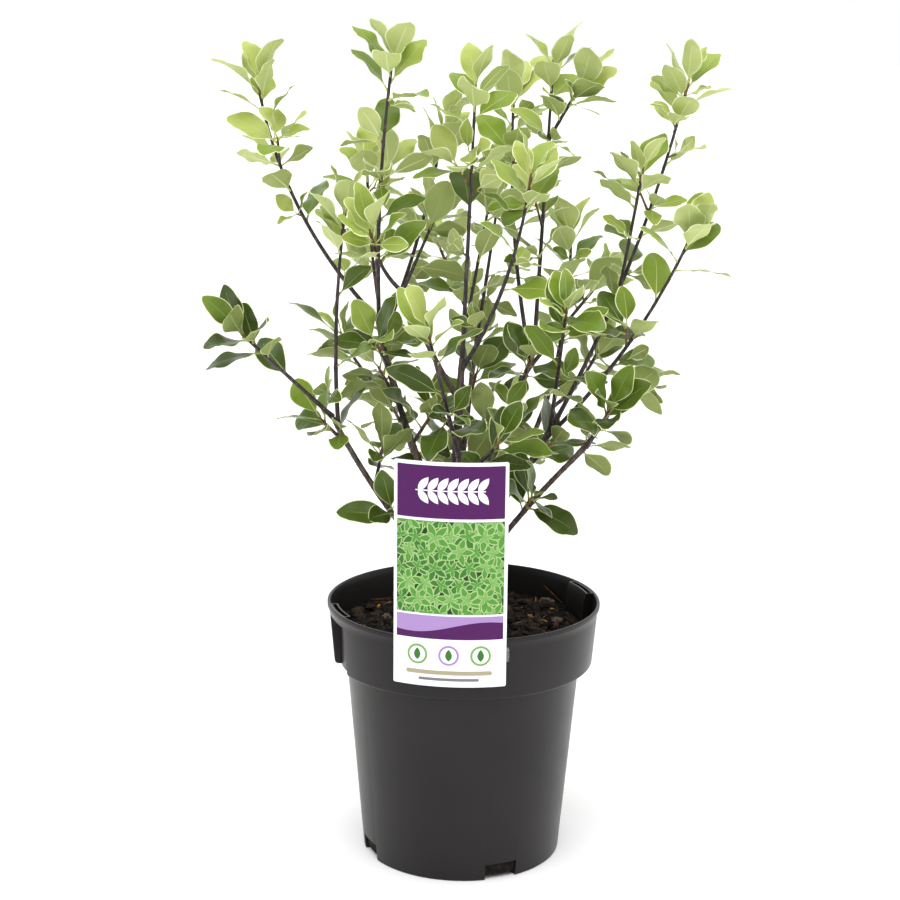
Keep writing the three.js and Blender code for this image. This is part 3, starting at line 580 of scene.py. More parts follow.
class Limb:
    """A tapering limb along a smooth curve from start to tip, that stands off a straight line by sway."""

    def __init__(self, name, start, tip, sway, foot_radius, tip_radius, steps):
        self.name = name
        self.start = np.array(start, dtype=float)
        self.tip = np.array(tip, dtype=float)
        self.control = (self.start + self.tip) / 2 + 2 * np.array(sway, dtype=float)
        self.foot_radius = foot_radius
        self.tip_radius = tip_radius
        self.steps = steps
        self.flare = 0.0
        chords = np.diff(self.points(np.linspace(0, 1, 201)), axis=0)
        self.length = float(np.sqrt((chords ** 2).sum(axis=1)).sum())

    def point(self, t):
        return (1 - t) ** 2 * self.start + 2 * (1 - t) * t * self.control + t * t * self.tip

    def points(self, shares):
        t = np.asarray(shares)[:, None]
        return (1 - t) ** 2 * self.start + 2 * (1 - t) * t * self.control + t * t * self.tip

    def direction(self, t):
        return unit(self.point(min(t + 0.0001, 1)) - self.point(max(t - 0.0001, 0)))

    def radius(self, t):
        rise = t * self.length / TRUNK_FLARE_HEIGHT
        return mix(self.foot_radius, self.tip_radius, t) + self.flare * np.exp(-rise)


def perpendicular(direction):
    aside = np.array((1.0, 0, 0)) if abs(direction[0]) < math.sqrt(0.5) else np.array((0, 1.0, 0))
    return unit(cross(aside, direction))


# Leaves, by the rule that the solids follow

def leaf_outline(s, tip_roundness=TIP_ROUNDNESS):
    """Half the leaf's width at a share s of its length, where the widest is 1: a stalk, then a blade."""
    u = np.clip((np.asarray(s, dtype=float) - STALK) / (1 - STALK), 0, 1)
    blade = np.sin(math.pi * u ** BLADE_SKEW).clip(0) ** mix(FOOT_ROUNDNESS, tip_roundness, u)
    return np.maximum(STALK_HALF_WIDTH, blade)


SAMPLE_SHARES = np.repeat(np.arange(3, 11) / 10, 5)
SAMPLE_SIDES = np.tile((-0.95, -0.5, 0, 0.5, 0.95), 8) * leaf_outline(SAMPLE_SHARES)


class Leaf:
    """A folded and curled blade on a stalk, with axes of its own."""

    def __init__(self, root, along, upward, length, width, fold, curl):
        self.root = root
        self.length = length
        self.width = width
        self.fold = fold
        self.curl = curl
        self.along = unit(along)
        self.across = -unit(cross(self.along, upward))
        self.upper = unit(cross(self.along, self.across))
        self.middle = self.place(np.array([0.5]), np.array([0.0]))[0]
        self.samples = self.place(SAMPLE_SHARES, SAMPLE_SIDES)

    def place(self, s, w):
        """The points at shares s of the length and w of half the widest width."""
        rise = self.fold * self.width * w * w * leaf_outline(s) - self.curl * self.length * s * s
        return (
            self.root + (s * self.length)[:, None] * self.along
            + (w * self.width / 2)[:, None] * self.across + rise[:, None] * self.upper
        )


class Leaves:
    """All placed leaves, kept as arrays for testing how near a point is."""

    FIELDS = ("root", "along", "across", "upper", "middle", "samples", "length", "width", "fold", "curl")

    def __init__(self):
        self.count = 0
        self.arrays = {}

    def add(self, leaf):
        for field in self.FIELDS:
            value = np.asarray(getattr(leaf, field))
            if field not in self.arrays:
                self.arrays[field] = np.zeros((MOST_LEAVES,) + value.shape)
            self.arrays[field][self.count] = value
        self.count += 1

    def clash(self, leaf, gap):
        if not self.count:
            return False
        held = {field: values[:self.count] for field, values in self.arrays.items()}
        apart = np.linalg.norm(held["middle"] - leaf.middle, axis=1)
        close = np.nonzero(apart <= LEAF_REACH * (leaf.length + held["length"]))[0]
        if not len(close):
            return False
        one = {field: np.asarray(getattr(leaf, field))[None] for field in self.FIELDS}
        others = {field: values[close] for field, values in held.items()}
        here = np.broadcast_to(leaf.samples, (len(close),) + leaf.samples.shape)
        return bool(near_blade(others, here, gap).any() or near_blade(one, others["samples"], gap).any())


def near_blade(blades, points, gap):
    """Which points lie within the gap of a blade: points has one row of points for each blade."""
    apart = points - blades["root"][:, None]
    length, width = blades["length"][:, None], blades["width"][:, None]
    axes = [np.broadcast_to(blades[field], (len(apart), 3)) for field in ("along", "across", "upper")]
    along, across, height = [np.einsum("ijk,ik->ij", apart, axis) for axis in axes]
    s, w = along / length, 2 * across / width
    outline = leaf_outline(s)
    rise = blades["fold"][:, None] * width * w * w * outline - blades["curl"][:, None] * length * s * s
    reached = (s >= BLADE_FROM) & (s <= 1 + gap / length)
    return reached & (np.abs(w) <= outline + 2 * gap / width) & (np.abs(height - rise) < gap)


class Wood:
    """Every limb as short straight runs, for keeping leaves clear of them."""

    def __init__(self, limbs):
        runs = []
        for number, limb in enumerate(limbs):
            limb.number = number
            stations = limb.points(np.arange(limb.steps + 1) / limb.steps)
            for i in range(limb.steps):
                radius = limb.radius(i / limb.steps)
                runs.append((stations[i], stations[i + 1] - stations[i], radius, number))
        self.starts, self.runs, self.radii, self.owners = [np.array(column) for column in zip(*runs)]
        self.squares = (self.runs ** 2).sum(axis=1)

    def distances(self, points, pick):
        """Distance from each point to each picked run."""
        apart = points[None] - self.starts[pick][:, None]
        share = np.einsum("ijk,ik->ij", apart, self.runs[pick]) / self.squares[pick][:, None]
        nearest = np.clip(share, 0, 1)[..., None] * self.runs[pick][:, None]
        return np.linalg.norm(apart - nearest, axis=2)

    def clash(self, leaf, own, gap):
        reach = self.distances(leaf.middle[None], np.arange(len(self.radii)))[:, 0]
        pick = np.nonzero(reach <= leaf.length * LEAF_REACH + self.radii + gap)[0]
        if not len(pick):
            return False
        room = self.radii[pick] + np.where(self.owners[pick] == own.number, OWN_LIMB_GAP, gap)
        return bool((self.distances(leaf.samples, pick) < room[:, None]).any())


CLIP_INNER = LIP_RADIUS + CLEARANCE
LABEL_INNER = CLIP_INNER + CLIP_THICKNESS + CLEARANCE


def inside_crown(points):
    """Which points lie in the crown's box, clear of the mix, the pot's rim and the label."""
    x, y, z = points.T
    low, high = np.array(CROWN_LOW), np.array(CROWN_HIGH)
    inside = ((points >= low) & (points <= high)).all(axis=1)
    from_axis = np.hypot(x, y)
    over_rim = (from_axis < LIP_RADIUS + CROWN_POT_GAP) & (from_axis > CROWN_RIM_INNER)
    low_down = (z < SOIL_TOP + CROWN_SOIL_GAP) | (over_rim & (z < POT_HEIGHT + CROWN_POT_GAP))
    from_label = np.abs(x - LABEL_INNER * math.cos(math.radians(LABEL_AZIMUTH)))
    beside_label = from_label < LABEL_WIDTH / 2 + CROWN_LABEL_GAP
    before_label = (from_axis > LABEL_INNER - CROWN_LABEL_GAP) & (y < 0) & beside_label
    return inside & ~low_down & ~(before_label & (z < LABEL_HIGH + CROWN_LABEL_RISE))


leaves = Leaves()


def leaf_fits(leaf, limb, leaf_gap, limb_gap):
    if not inside_crown(leaf.samples).all():
        return False
    return not wood.clash(leaf, limb, limb_gap) and not leaves.clash(leaf, leaf_gap)


def grow_leaf(limb, t, turn, age, pitches, random, size=1.0, leaf_gap=LEAF_GAP, limb_gap=LIMB_GAP):
    """One leaf on a limb. Age runs from 0 at the tip's youngest leaf to 1 at a full-grown one."""
    draws = [random() for _ in range(7)]
    full = mix(*LEAF_LENGTH, draws[0]) * size
    length = full * mix(LEAF_YOUNGEST, 1, min(1, age / LEAF_FULL_AGE))
    width = length * mix(*LEAF_WIDTH, draws[1])
    fold = mix(*LEAF_FOLD, draws[5]) * (YOUNG_FOLD - FOLD_LOSS * age)
    curl = mix(*LEAF_CURL, draws[6]) * (YOUNG_CURL + CURL_GAIN * age)
    stem = limb.direction(t)
    side = perpendicular(stem)
    for attempt in range(TRIES):
        angle = turn + (draws[2] - 0.5) * TURN_SPREAD + attempt * TURN_OF_TRY
        out = turned(side, stem, angle)
        pitch = mix(*pitches, age) + (draws[3] - 0.5) * PITCH_SPREAD + attempt * PITCH_OF_TRY
        along = stem * math.cos(pitch) + out * math.sin(pitch)
        along[2] += LEAF_LIFT
        along = unit(along)
        upward = stem - FACE_OUT * out
        upward[2] += FACE_UP
        upward = turned(upward, along, (draws[4] - 0.5) * ROLL_SPREAD)
        leaf = Leaf(limb.point(t), along, upward, length, width, fold, curl)
        if leaf_fits(leaf, limb, leaf_gap, limb_gap):
            leaf.age = age
            leaf.share = t
            leaf.chance = draws[2]
            leaves.add(leaf)
            return leaf
    return None


def grow_leaves(limb, seed, tip_leaves, tuft_step, leaf_step, pitches, leafy_from):
    """The leaves of one shoot: a close tuft at its tip, and single leaves below it."""
    grown = []
    start = random_run(seed)() * 2 * math.pi
    down = TOP_LEAF_DOWN
    i = 0
    while 1 - down / limb.length > leafy_from:
        age = min(1, (i + FIRST_LEAF_PLACE) / tip_leaves)
        random = random_run(seed * 131 + i * 7 + 3)
        leaf = grow_leaf(limb, 1 - down / limb.length, start + i * GOLDEN_ANGLE, age, pitches, random)
        if leaf:
            grown.append(leaf)
        if i < tip_leaves:
            down += tuft_step * (1 + TUFT_WIDENING * i)
        else:
            down += leaf_step * (LEAST_LEAF_STEP + LEAF_STEP_SPREAD * random())
        i += 1
    return grown


def shoot_limb(name, start, tip, sway, foot_radius=SHOOT_FOOT_RADIUS, steps=SHOOT_STEPS):
    return Limb(name, start, tip, sway, foot_radius, SHOOT_TIP_RADIUS, steps)


class Stem:
    """A leafy shoot, twig or spray of a mass."""

    RULES = {  # leaves at the tip, steps between them and between those below, and pitches
        "shoot": (TIP_LEAVES, TUFT_STEP, LEAF_STEP, SHOOT_PITCH),
        "spray": (SPRAY_TIP_LEAVES, TUFT_STEP, SPRAY_LEAF_STEP, SPRAY_PITCH),
        "twig": (TWIG_TIP_LEAVES, TWIG_TUFT_STEP, TWIG_LEAF_STEP, SHOOT_PITCH),
    }

    def __init__(self, limb, seed, leafy_from, kind):
        self.limb = limb
        self.seed = seed
        self.leafy_from = leafy_from
        self.kind = kind

    def grow(self):
        self.leaves = grow_leaves(self.limb, self.seed, *self.RULES[self.kind], self.leafy_from)


class Mass:
    """A mass of foliage: the bough that bears it, its stems, and their spurs with the leaves on them."""

    def __init__(self, name, parent, stems):
        self.name = name
        self.parent = parent
        self.stems = stems
        self.spurs = []


def side_twigs(limb, seed, leafy_from):
    """Short side twigs on a long shoot, each with a small tuft."""
    found = []
    random = random_run(seed * 977 + 5)
    count = math.floor(limb.length / TWIG_EVERY)
    start = random() * 2 * math.pi
    for i in range(count):
        t = mix(leafy_from + TWIG_FIRST_UP, TWIG_LAST, (i + 0.3 + 0.4 * random()) / count)
        stem = limb.direction(t)
        out = turned(perpendicular(stem), stem, start + i * GOLDEN_ANGLE)
        along = unit(stem * math.cos(TWIG_PITCH) + out * math.sin(TWIG_PITCH))
        reach = mix(*TWIG_REACH, random())
        tip = limb.point(t) + along * reach
        tip[2] += reach * TWIG_LIFT
        found.append(Limb(limb.name, limb.point(t), tip, NO_SWAY, TWIG_RADIUS, TWIG_RADIUS * SLIM, 2))
    return found


def start_on(parent, at):
    """Where a limb leaves its parent: at the very tip it stands a little clear."""
    start = parent.point(at)
    return start + parent.direction(1) * CLEARANCE if at == 1 else start


def short_name(bough):
    return bough.replace("bough_", "")


def grow_limbs():
    """The trunk and the boughs, by name."""
    foot, tip, sway, foot_radius, tip_radius = TRUNK
    trunk = Limb("trunk", foot, tip, sway, foot_radius, tip_radius, LIMB_STEPS)
    trunk.flare = TRUNK_FLARE
    trunk.parent = None
    found = {"trunk": trunk}
    for name, on, at, tip, sway, foot_radius in BOUGHS:
        bough = Limb(name, start_on(found[on], at), tip, sway, foot_radius, BOUGH_TIP_RADIUS, LIMB_STEPS)
        bough.parent = found[on]
        found[name] = bough
    return found


def mass_stems(row, seed, limbs):
    """The stems of one mass: its shoot, a fork where it has one, and their side twigs."""
    name, on, at, tip, sway, leafy_from = row
    parent = limbs[on]
    shoot = shoot_limb(name, start_on(parent, at), tip, sway)
    stems = [Stem(shoot, seed, leafy_from, "shoot")]
    if name in FORKS:
        share, fork_tip = FORKS[name]
        forked = shoot_limb(name, shoot.point(share), fork_tip, NO_SWAY, SHOOT_FOOT_RADIUS * SLIM)
        stems.append(Stem(forked, seed + 50, FORK_LEAFY_FROM, "shoot"))
    for stem in list(stems):
        for i, limb in enumerate(side_twigs(stem.limb, stem.seed, stem.leafy_from)):
            stems.append(Stem(limb, stem.seed + 100 + i, TWIG_LEAFY_FROM, "twig"))
    return Mass(name, parent, stems)


def spray_stems(limbs):
    """The short sprays along the older wood, each a mass of its own."""
    found = []
    for r, (on, shares) in enumerate(SPRAYS):
        parent = limbs[on]
        for i, at in enumerate(shares):
            seed = FIRST_SPRAY_SEED + r * 10 + i
            random = random_run(seed)
            stem = parent.direction(at)
            out = turned(perpendicular(stem), stem, r * SPRAY_TURN + i * GOLDEN_ANGLE)
            out[2] = abs(out[2]) + SPRAY_LIFT
            along = unit(stem * math.cos(SPRAY_LEAN) + out * math.sin(SPRAY_LEAN))
            tip = parent.point(at) + along * mix(*SPRAY_REACH, random())
            name = f"spray_{short_name(on)}_{i + 1}"
            limb = shoot_limb(name, parent.point(at), tip, NO_SWAY, SHOOT_FOOT_RADIUS * SLIM, 3)
            found.append(Mass(name, parent, [Stem(limb, seed, SPRAY_LEAFY_FROM, "spray")]))
    return found


# Finer growth, beyond what the solids hold: spurs with small leaves in the leaf axils and between them

SPUR_HEIGHTS = (0.27, 0.36, 0.46, 0.52)
SPUR_EVERY = (0.018, 0.085, 0.075, 0.026)  # at those heights: fewest in the open middle of the crown
SPUR_REACH = (0.002, 0.007)
SPUR_RADIUS = 0.0007
SPUR_PITCH = (0.6, 1.1)
FIRST_SPUR_DOWN = (0.012, 0.022)  # from the stem's tip
SPUR_FOOT_GAP = 0.006
SPUR_BARE = 0.3  # share of a stem's bare foot that has no spurs either
SPUR_STEP_SPREAD = (0.7, 1.3)
SPUR_LEAF_AGES = (0.25, 0.55, 0.85)
SPUR_LEAF_STEP = 0.12  # share of the spur between its leaves
SPUR_LEAF_SIZE = (0.66, 0.72)  # low down, and high up
SPUR_LEAF_HEIGHTS = (0.27, 0.40)
SPUR_LEAF_SPREAD = (0.78, 1.22)
SPUR_GAP = 0.0012
SPUR_SPACING = {  # of the masses that are barer or fuller than the rest
    "foliage_right_high": 0.6, "foliage_front_left": 1.6, "foliage_left_upright": 1.5,
    "foliage_right_inner": 1.6, "foliage_back_left_low": 1.5,
}


def grow_spurs(stem, seed, spacing):
    """Short spurs along a stem, each with two or three small leaves, where there is room for them."""
    limb = stem.limb
    random = random_run(seed * 613 + 17)
    found = []
    down = mix(*FIRST_SPUR_DOWN, random())
    first = random() * 2 * math.pi
    i = 0
    while down < limb.length * (1 - SPUR_BARE * stem.leafy_from) - SPUR_FOOT_GAP:
        t = 1 - down / limb.length
        direction = limb.direction(t)
        out = turned(perpendicular(direction), direction, first + i * GOLDEN_ANGLE)
        pitch = mix(*SPUR_PITCH, random())
        along = unit(direction * math.cos(pitch) + out * math.sin(pitch))
        reach = mix(*SPUR_REACH, random())
        tip = limb.point(t) + along * (reach + limb.radius(t))
        spur = Limb(limb.name, limb.point(t), tip, NO_SWAY, SPUR_RADIUS, SPUR_RADIUS * SLIM, 1)
        spur.number = limb.number
        height = limb.point(t)[2]
        high = float(smoothstep(*SPUR_LEAF_HEIGHTS, height))
        size = mix(*SPUR_LEAF_SIZE, high) * mix(*SPUR_LEAF_SPREAD, random())
        turn = random() * 2 * math.pi
        grown = []
        for k, age in enumerate(SPUR_LEAF_AGES):
            leaf = grow_leaf(
                spur, 1 - SPUR_LEAF_STEP * k, turn + k * GOLDEN_ANGLE, age, SPRAY_PITCH,
                random_run(seed * 71 + i * 11 + k), size, SPUR_GAP, SPUR_GAP,
            )
            if leaf:
                grown.append(leaf)
        if len(grown) > 1:
            found.append((spur, grown))
        step = spacing * float(np.interp(height, SPUR_HEIGHTS, SPUR_EVERY))
        down += step * mix(*SPUR_STEP_SPREAD, random())
        i += 1
    return found


# The look of a leaf

# Rows along the leaf, from its root to its tip. Its columns run from edge to edge: the edge, the inner
# side of the pale margin, the middle of the half blade, and the side of the midrib, then back again.
LEAF_ROWS = np.array((
    0.03, 0.08, 0.135, 0.165, 0.205, 0.255, 0.31, 0.365, 0.42, 0.475, 0.53, 0.585, 0.64, 0.695, 0.75, 0.805,
    0.86, 0.91, 0.95, 0.98,
))
STALK_ROWS = 3
LEAF_COLUMNS = np.array((-4, -3, -2, -1, 1, 2, 3, 4))
LEAF_ENDS = (-0.012, 1.0)  # where the root's point and the tip's point lie
MIDRIB_ENDS_BEFORE = 4  # rows from the tip
# Half thicknesses of blade and stalk, and half widths of the midrib on the upper and the under side
BLADE_HALF = 0.00017
STALK_HALF = 0.00055
STALK_FOOT_HALF = 0.0009
MIDRIB_FOOT_HALF = 0.0004
MIDRIB_UNDER_HALF = 0.0008
STALK_FOOT_END = 0.05
FULL_THICKNESS_LENGTH = 0.03  # shorter leaves are thinner
MARGIN_WIDTH = 0.00065
LEAF_SLIMNESS = 0.94  # width drawn, as a share of the rule's
MIDRIB_STAND = 0.00035  # how far the midrib stands out under the blade
MIDRIB_GROOVE = 0.00014  # how deep it lies in the upper side
SIDE_VEINS = 5.5
VEIN_SLANT = 0.16
# What a leaf has of its own: shares of its width, and of its length for the bend and the hook
FINE_TIP_ROUNDNESS = (0.5, 0.68)
WAVE_HEIGHT = (0.04, 0.12)
WAVE_COUNT = (1.1, 2.3)
WAVE_LEAN = (0.6, 1.6)  # radians by which one edge's waves run ahead of the other's
BEND = (-0.10, 0.10)
TWIST = (-0.45, 0.45)  # radians from root to tip
HOOK = (0.01, 0.05)
HOOK_FROM = 0.84
RECURVE = (0.0, 0.09)
QUILT = (0.006, 0.013)

# Leaf colours from dark to pale, dealt out by a paleness that holds painted shade on low and inner leaves
UPPERS = (
    ("leaf_deep", (60, 76, 26)),
    ("leaf_dark", (76, 96, 30)),
    ("leaf_green", (98, 121, 38)),
    ("leaf_mid", (124, 147, 48)),
    ("leaf_light", (149, 167, 74)),
    ("leaf_lime", (175, 187, 100)),
)
# Undersides, ribs, margins, midribs and stalks, old and young, go by the same paleness, so low and inner
# leaves get the old ones partly as painted shade
UNDERS = (
    ("underside_old", (114, 126, 70)),
    ("underside_grey", (140, 153, 88)),
    ("underside_mid", (166, 179, 110)),
    ("underside_young", (191, 202, 134)),
)
RIBS_UNDER = (("rib_old", (170, 182, 122)), ("rib_young", (212, 220, 164)))
MARGINS = (("margin_old", (200, 209, 152)), ("margin_young", (230, 235, 192)))
MIDRIBS = (("midrib_old", (134, 154, 80)), ("midrib_young", (186, 198, 124)))
STALKS = (("stalk_old", (152, 158, 82)), ("stalk_young", (194, 202, 118)))
OLD_LEAVES = {"foliage_left_low": 0.55}  # how much darker a shoot of old leaves is, as a share of the range
PALE_AND_PAINTED_LIGHT_HEIGHTS = (0.25, 0.54)  # leaves are paler between them, partly from growth and partly as painted shade on the lower ones
PAINTED_SHADE_REACH = 0.12  # distance from the plant's axis where a leaf's painted shade ends; nearer the axis it is painted darker
BY_HEIGHT, BY_YOUTH, BY_REACH = 0.56, 0.4, 0.14  # shares in how pale a leaf is; the height and reach shares carry painted shade
SHADE_SPREAD = 0.24  # how far one leaf's shade may be from its neighbour's, either way
ALMOST_ONE = 0.999


def leaf_materials():
    found = []
    for i, (name, colour) in enumerate(UPPERS):
        found.append(leaf_material(name, colour, mix(0.3, 0.42, i / 5), 0.28, 0.3))
    for name, colour in UNDERS:
        found.append(leaf_material(name, colour, 0.65, 0.16, 0.6))
    for name, colour in RIBS_UNDER + MARGINS + MIDRIBS + STALKS:
        found.append(plain_material(name, colour, 0.55, 0.25))
    return found


UNDER_FIRST = len(UPPERS)
RIB_UNDER_FIRST = UNDER_FIRST + len(UNDERS)
MARGIN_FIRST = RIB_UNDER_FIRST + len(RIBS_UNDER)
MIDRIB_FIRST = MARGIN_FIRST + len(MARGINS)
STALK_FIRST = MIDRIB_FIRST + len(MIDRIBS)


def leaf_template():
    """Shares, columns, levels and faces of the fine leaf: two skins that meet at the edges."""
    rows, columns = len(LEAF_ROWS), len(LEAF_COLUMNS)
    inner = columns - 2
    top = np.arange(rows * columns).reshape(rows, columns)
    bottom = top.copy()
    bottom[:, 1:-1] = rows * columns + np.arange(rows * inner).reshape(rows, inner)
    root = rows * (columns + inner)
    tip = root + 1
    s = np.concatenate([np.repeat(LEAF_ROWS, columns), np.repeat(LEAF_ROWS, inner), LEAF_ENDS])
    column = np.concatenate([np.tile(LEAF_COLUMNS, rows), np.tile(LEAF_COLUMNS[1:-1], rows), [0, 0]])
    level = np.concatenate([np.ones(rows * columns), -np.ones(rows * inner), [0, 0]])
    level[top[:, (0, -1)]] = 0
    triangles, classes = [], []

    def kind(i, k, upper):
        if i < STALK_ROWS - 1:
            return "stalk"
        if k in (0, columns - 2):
            return "margin"
        if k == columns // 2 - 1 and i < rows - MIDRIB_ENDS_BEFORE:
            return "midrib" if upper else "rib_under"
        return "upper" if upper else "under"

    for i in range(rows - 1):
        for k in range(columns - 1):
            for skin, upper in ((top, True), (bottom, False)):
                a, b, c, d = skin[i, k], skin[i, k + 1], skin[i + 1, k + 1], skin[i + 1, k]
                triangles += [(a, b, c), (a, c, d)] if upper else [(a, c, b), (a, d, c)]
                classes += [kind(i, k, upper)] * 2
    for k in range(columns - 1):
        triangles += [(root, top[0, k + 1], top[0, k]), (root, bottom[0, k], bottom[0, k + 1])]
        triangles += [(tip, top[-1, k], top[-1, k + 1]), (tip, bottom[-1, k + 1], bottom[-1, k])]
        edge = k in (0, columns - 2)
        classes += ["stalk", "stalk", "margin" if edge else "upper", "margin" if edge else "under"]
    return s, column, level, np.array(triangles), np.array(classes)


TEMPLATE_S, TEMPLATE_COLUMN, TEMPLATE_LEVEL, TEMPLATE_TRIANGLES, TEMPLATE_CLASSES = leaf_template()


def leaf_points(leaf, random):
    """The fine leaf's points: the rule's surface, with waves, a bend, a twist and a small hooked tip."""
    s, column, level = TEMPLATE_S, TEMPLATE_COLUMN, TEMPLATE_LEVEL
    side, kind = np.sign(column), np.abs(column)
    under_rib, upper_rib = (kind == 1) & (level < 0), (kind == 1) & (level > 0)
    half = leaf.width / 2 * LEAF_SLIMNESS
    outline = np.where(s >= 1, 0, leaf_outline(s, mix(*FINE_TIP_ROUNDNESS, random())))
    margin = np.maximum(0.6 * outline, outline - MARGIN_WIDTH / half)
    rib = np.where(level < 0, MIDRIB_UNDER_HALF, MIDRIB_FOOT_HALF)
    midrib = np.minimum(0.45 * outline, rib / half * (1.05 - s).clip(0.08))
    reach = side * np.choose(kind, (0 * s, midrib, 0.5 * (outline + midrib), margin, outline))
    out = np.abs(reach)
    blade = smoothstep(STALK * 0.8, STALK * 1.7, s)
    wave = mix(*WAVE_HEIGHT, random()) * leaf.width
    waves = mix(*WAVE_COUNT, random())
    phase = random() * 2 * math.pi
    lean = mix(*WAVE_LEAN, random())
    bend = mix(*BEND, random())
    twist = mix(*TWIST, random())
    hook = mix(*HOOK, random())
    recurved = mix(*RECURVE, random()) * leaf.width
    quilt = mix(*QUILT, random()) * leaf.width
    height = leaf.fold * leaf.width * reach ** 2 * outline - leaf.curl * leaf.length * s * s
    height += blade * wave * out ** 1.5 * np.sin(waves * 2 * math.pi * s + phase + side * lean)
    height += blade * twist * reach * half * s
    height -= blade * recurved * out ** 3.5
    veins = SIDE_VEINS * 2 * math.pi * (s - VEIN_SLANT * out)
    height += blade * quilt * np.sin(veins) * 4 * out * (1 - out).clip(0)
    height -= hook * leaf.length * smoothstep(HOOK_FROM, 1.0, s)
    size = min(1, leaf.length / FULL_THICKNESS_LENGTH)
    thick = mix(STALK_HALF, BLADE_HALF, blade) + (STALK_FOOT_HALF - STALK_HALF) * (s < STALK_FOOT_END)
    height += level * thick * size
    height -= np.where(under_rib, MIDRIB_STAND * size, 0) * blade * (1.05 - s)
    height -= np.where(upper_rib, MIDRIB_GROOVE * size, 0) * blade
    sideways = reach * half + bend * leaf.length * s * s
    return (
        leaf.root + (s * leaf.length)[:, None] * leaf.along
        + sideways[:, None] * leaf.across + height[:, None] * leaf.upper
    )


def leaf_shades(leaf, darker, random):
    """The material number of each face of a leaf: old leaves are dark, low ones darker as older growth and as
    painted shade, inner ones darker as painted shade, and high ones pale.
    """
    x, y, z = leaf.middle
    high = float(smoothstep(*PALE_AND_PAINTED_LIGHT_HEIGHTS, z))
    outer = min(1, math.hypot(x, y) / PAINTED_SHADE_REACH)
    youth = 1 - min(1, leaf.age)
    # Painted shade: low leaves and leaves near the axis are given darker colours, where the crown shades them
    light = BY_HEIGHT * high + BY_YOUTH * youth * (0.4 + 0.6 * high) + BY_REACH * outer * high
    light += mix(-SHADE_SPREAD, SHADE_SPREAD, random()) - darker
    light = min(ALMOST_ONE, max(0, light))
    young = int(light > 0.5)
    under_light = min(ALMOST_ONE, max(0, 0.25 + 0.75 * light))
    numbers = {
        "upper": int(light * len(UPPERS)), "under": UNDER_FIRST + int(under_light * len(UNDERS)),
        "margin": MARGIN_FIRST + young, "midrib": MIDRIB_FIRST + young,
        "rib_under": RIB_UNDER_FIRST + young, "stalk": STALK_FIRST + young,
    }
    found = np.empty(len(TEMPLATE_CLASSES), dtype=int)
    for name, number in numbers.items():
        found[TEMPLATE_CLASSES == name] = number
    return found


def leaves_piece(name, placed, materials):
    """One piece of many leaves, each given with how much darker it is than others."""
    gathered = Gathered()
    for leaf, darker in placed:
        random = random_run(int(leaf.chance * 1e6) + int(leaf.share * 1e4))
        gathered.add(leaf_points(leaf, random), TEMPLATE_TRIANGLES, leaf_shades(leaf, darker, random))
    return gathered.piece(name, materials, 60)


# The look of the wood

BARK_STEP = 0.0011
BARK_RELIEF = 0.09  # share of the radius
COLLAR_SWELL = 0.45
COLLAR_LENGTH = 2.2  # times the foot radius
FIRST_RING = 0.008
RING_HEIGHT = 0.00022
RING_HALF_WIDTH = 0.0007
RING_SPACING = (0.007, 0.016)
SHOOT_STEP = 0.0035
FOOT_WIDEN_LENGTH = 0.005
NODE_HEIGHT = 0.00022
NODE_HALF_WIDTH = 0.0016
YOUNG_WOOD = 0.014  # the length of a shoot's tip that is still reddish and green
STEM_LOOKS = {"shoot": (14, 0.0005), "spray": (10, 0.0003), "twig": (8, 0.0003)}  # sides, widening of foot


def bark_tube(limb, sides, seed):
    """A limb with ridged bark, rings where old leaves stood, and a collar where it leaves its parent."""
    count = max(8, int(limb.length / BARK_STEP))
    shares = np.linspace(0, 1, count)
    angles = 2 * math.pi * np.arange(sides) / sides
    radii = np.array([limb.radius(t) for t in shares])
    along = shares * limb.length
    if limb.parent is not None:
        rise = along / (COLLAR_LENGTH * limb.foot_radius)
        radii = radii * (1 + COLLAR_SWELL * np.exp(-rise * rise))
    random = random_run(seed)
    rings = np.zeros(count)
    place = FIRST_RING
    while place < limb.length:
        rings += RING_HEIGHT * np.exp(-(((along - place) / RING_HALF_WIDTH) ** 2))
        place += mix(*RING_SPACING, random())
    skin = np.empty((count, sides))
    for i in range(count):
        for k in range(sides):
            x, y = math.cos(angles[k]), math.sin(angles[k])
            around = Vector((x * 1.6, y * 1.6, along[i] * 90 + seed * 7))
            fine = Vector((x * 4, y * 4, along[i] * 300 + seed * 3))
            bump = 0.6 * noise.noise(around) + 0.4 * noise.noise(fine)
            skin[i, k] = radii[i] * (1 + BARK_RELIEF * bump) + rings[i] * (1 + 0.6 * bump)
    skin[-1] *= 0.55
    return tube(limb.points(shares), skin, sides)


def shoot_tube(limb, sides, leaf_shares, foot_widen):
    """A slim shoot, a little wider at its foot and at every leaf, that ends in a rounded tip."""
    count = max(6, int(limb.length / SHOOT_STEP))
    shares = np.linspace(0, 1, count)
    along = shares * limb.length
    radii = mix(limb.foot_radius, limb.tip_radius, shares)
    radii = radii + foot_widen * np.exp(-((along / FOOT_WIDEN_LENGTH) ** 2))
    for t in leaf_shares:
        radii = radii + NODE_HEIGHT * np.exp(-(((along - t * limb.length) / NODE_HALF_WIDTH) ** 2))
    radii[-1] *= 0.4
    points, triangles = tube(limb.points(shares), radii, sides)
    young = (triangles.max(axis=1) // sides) >= count * (1 - YOUNG_WOOD / limb.length)
    return points, triangles, young.astype(int)


# Grow the whole plant: what the solids hold first, and then the finer growth in the room that is left

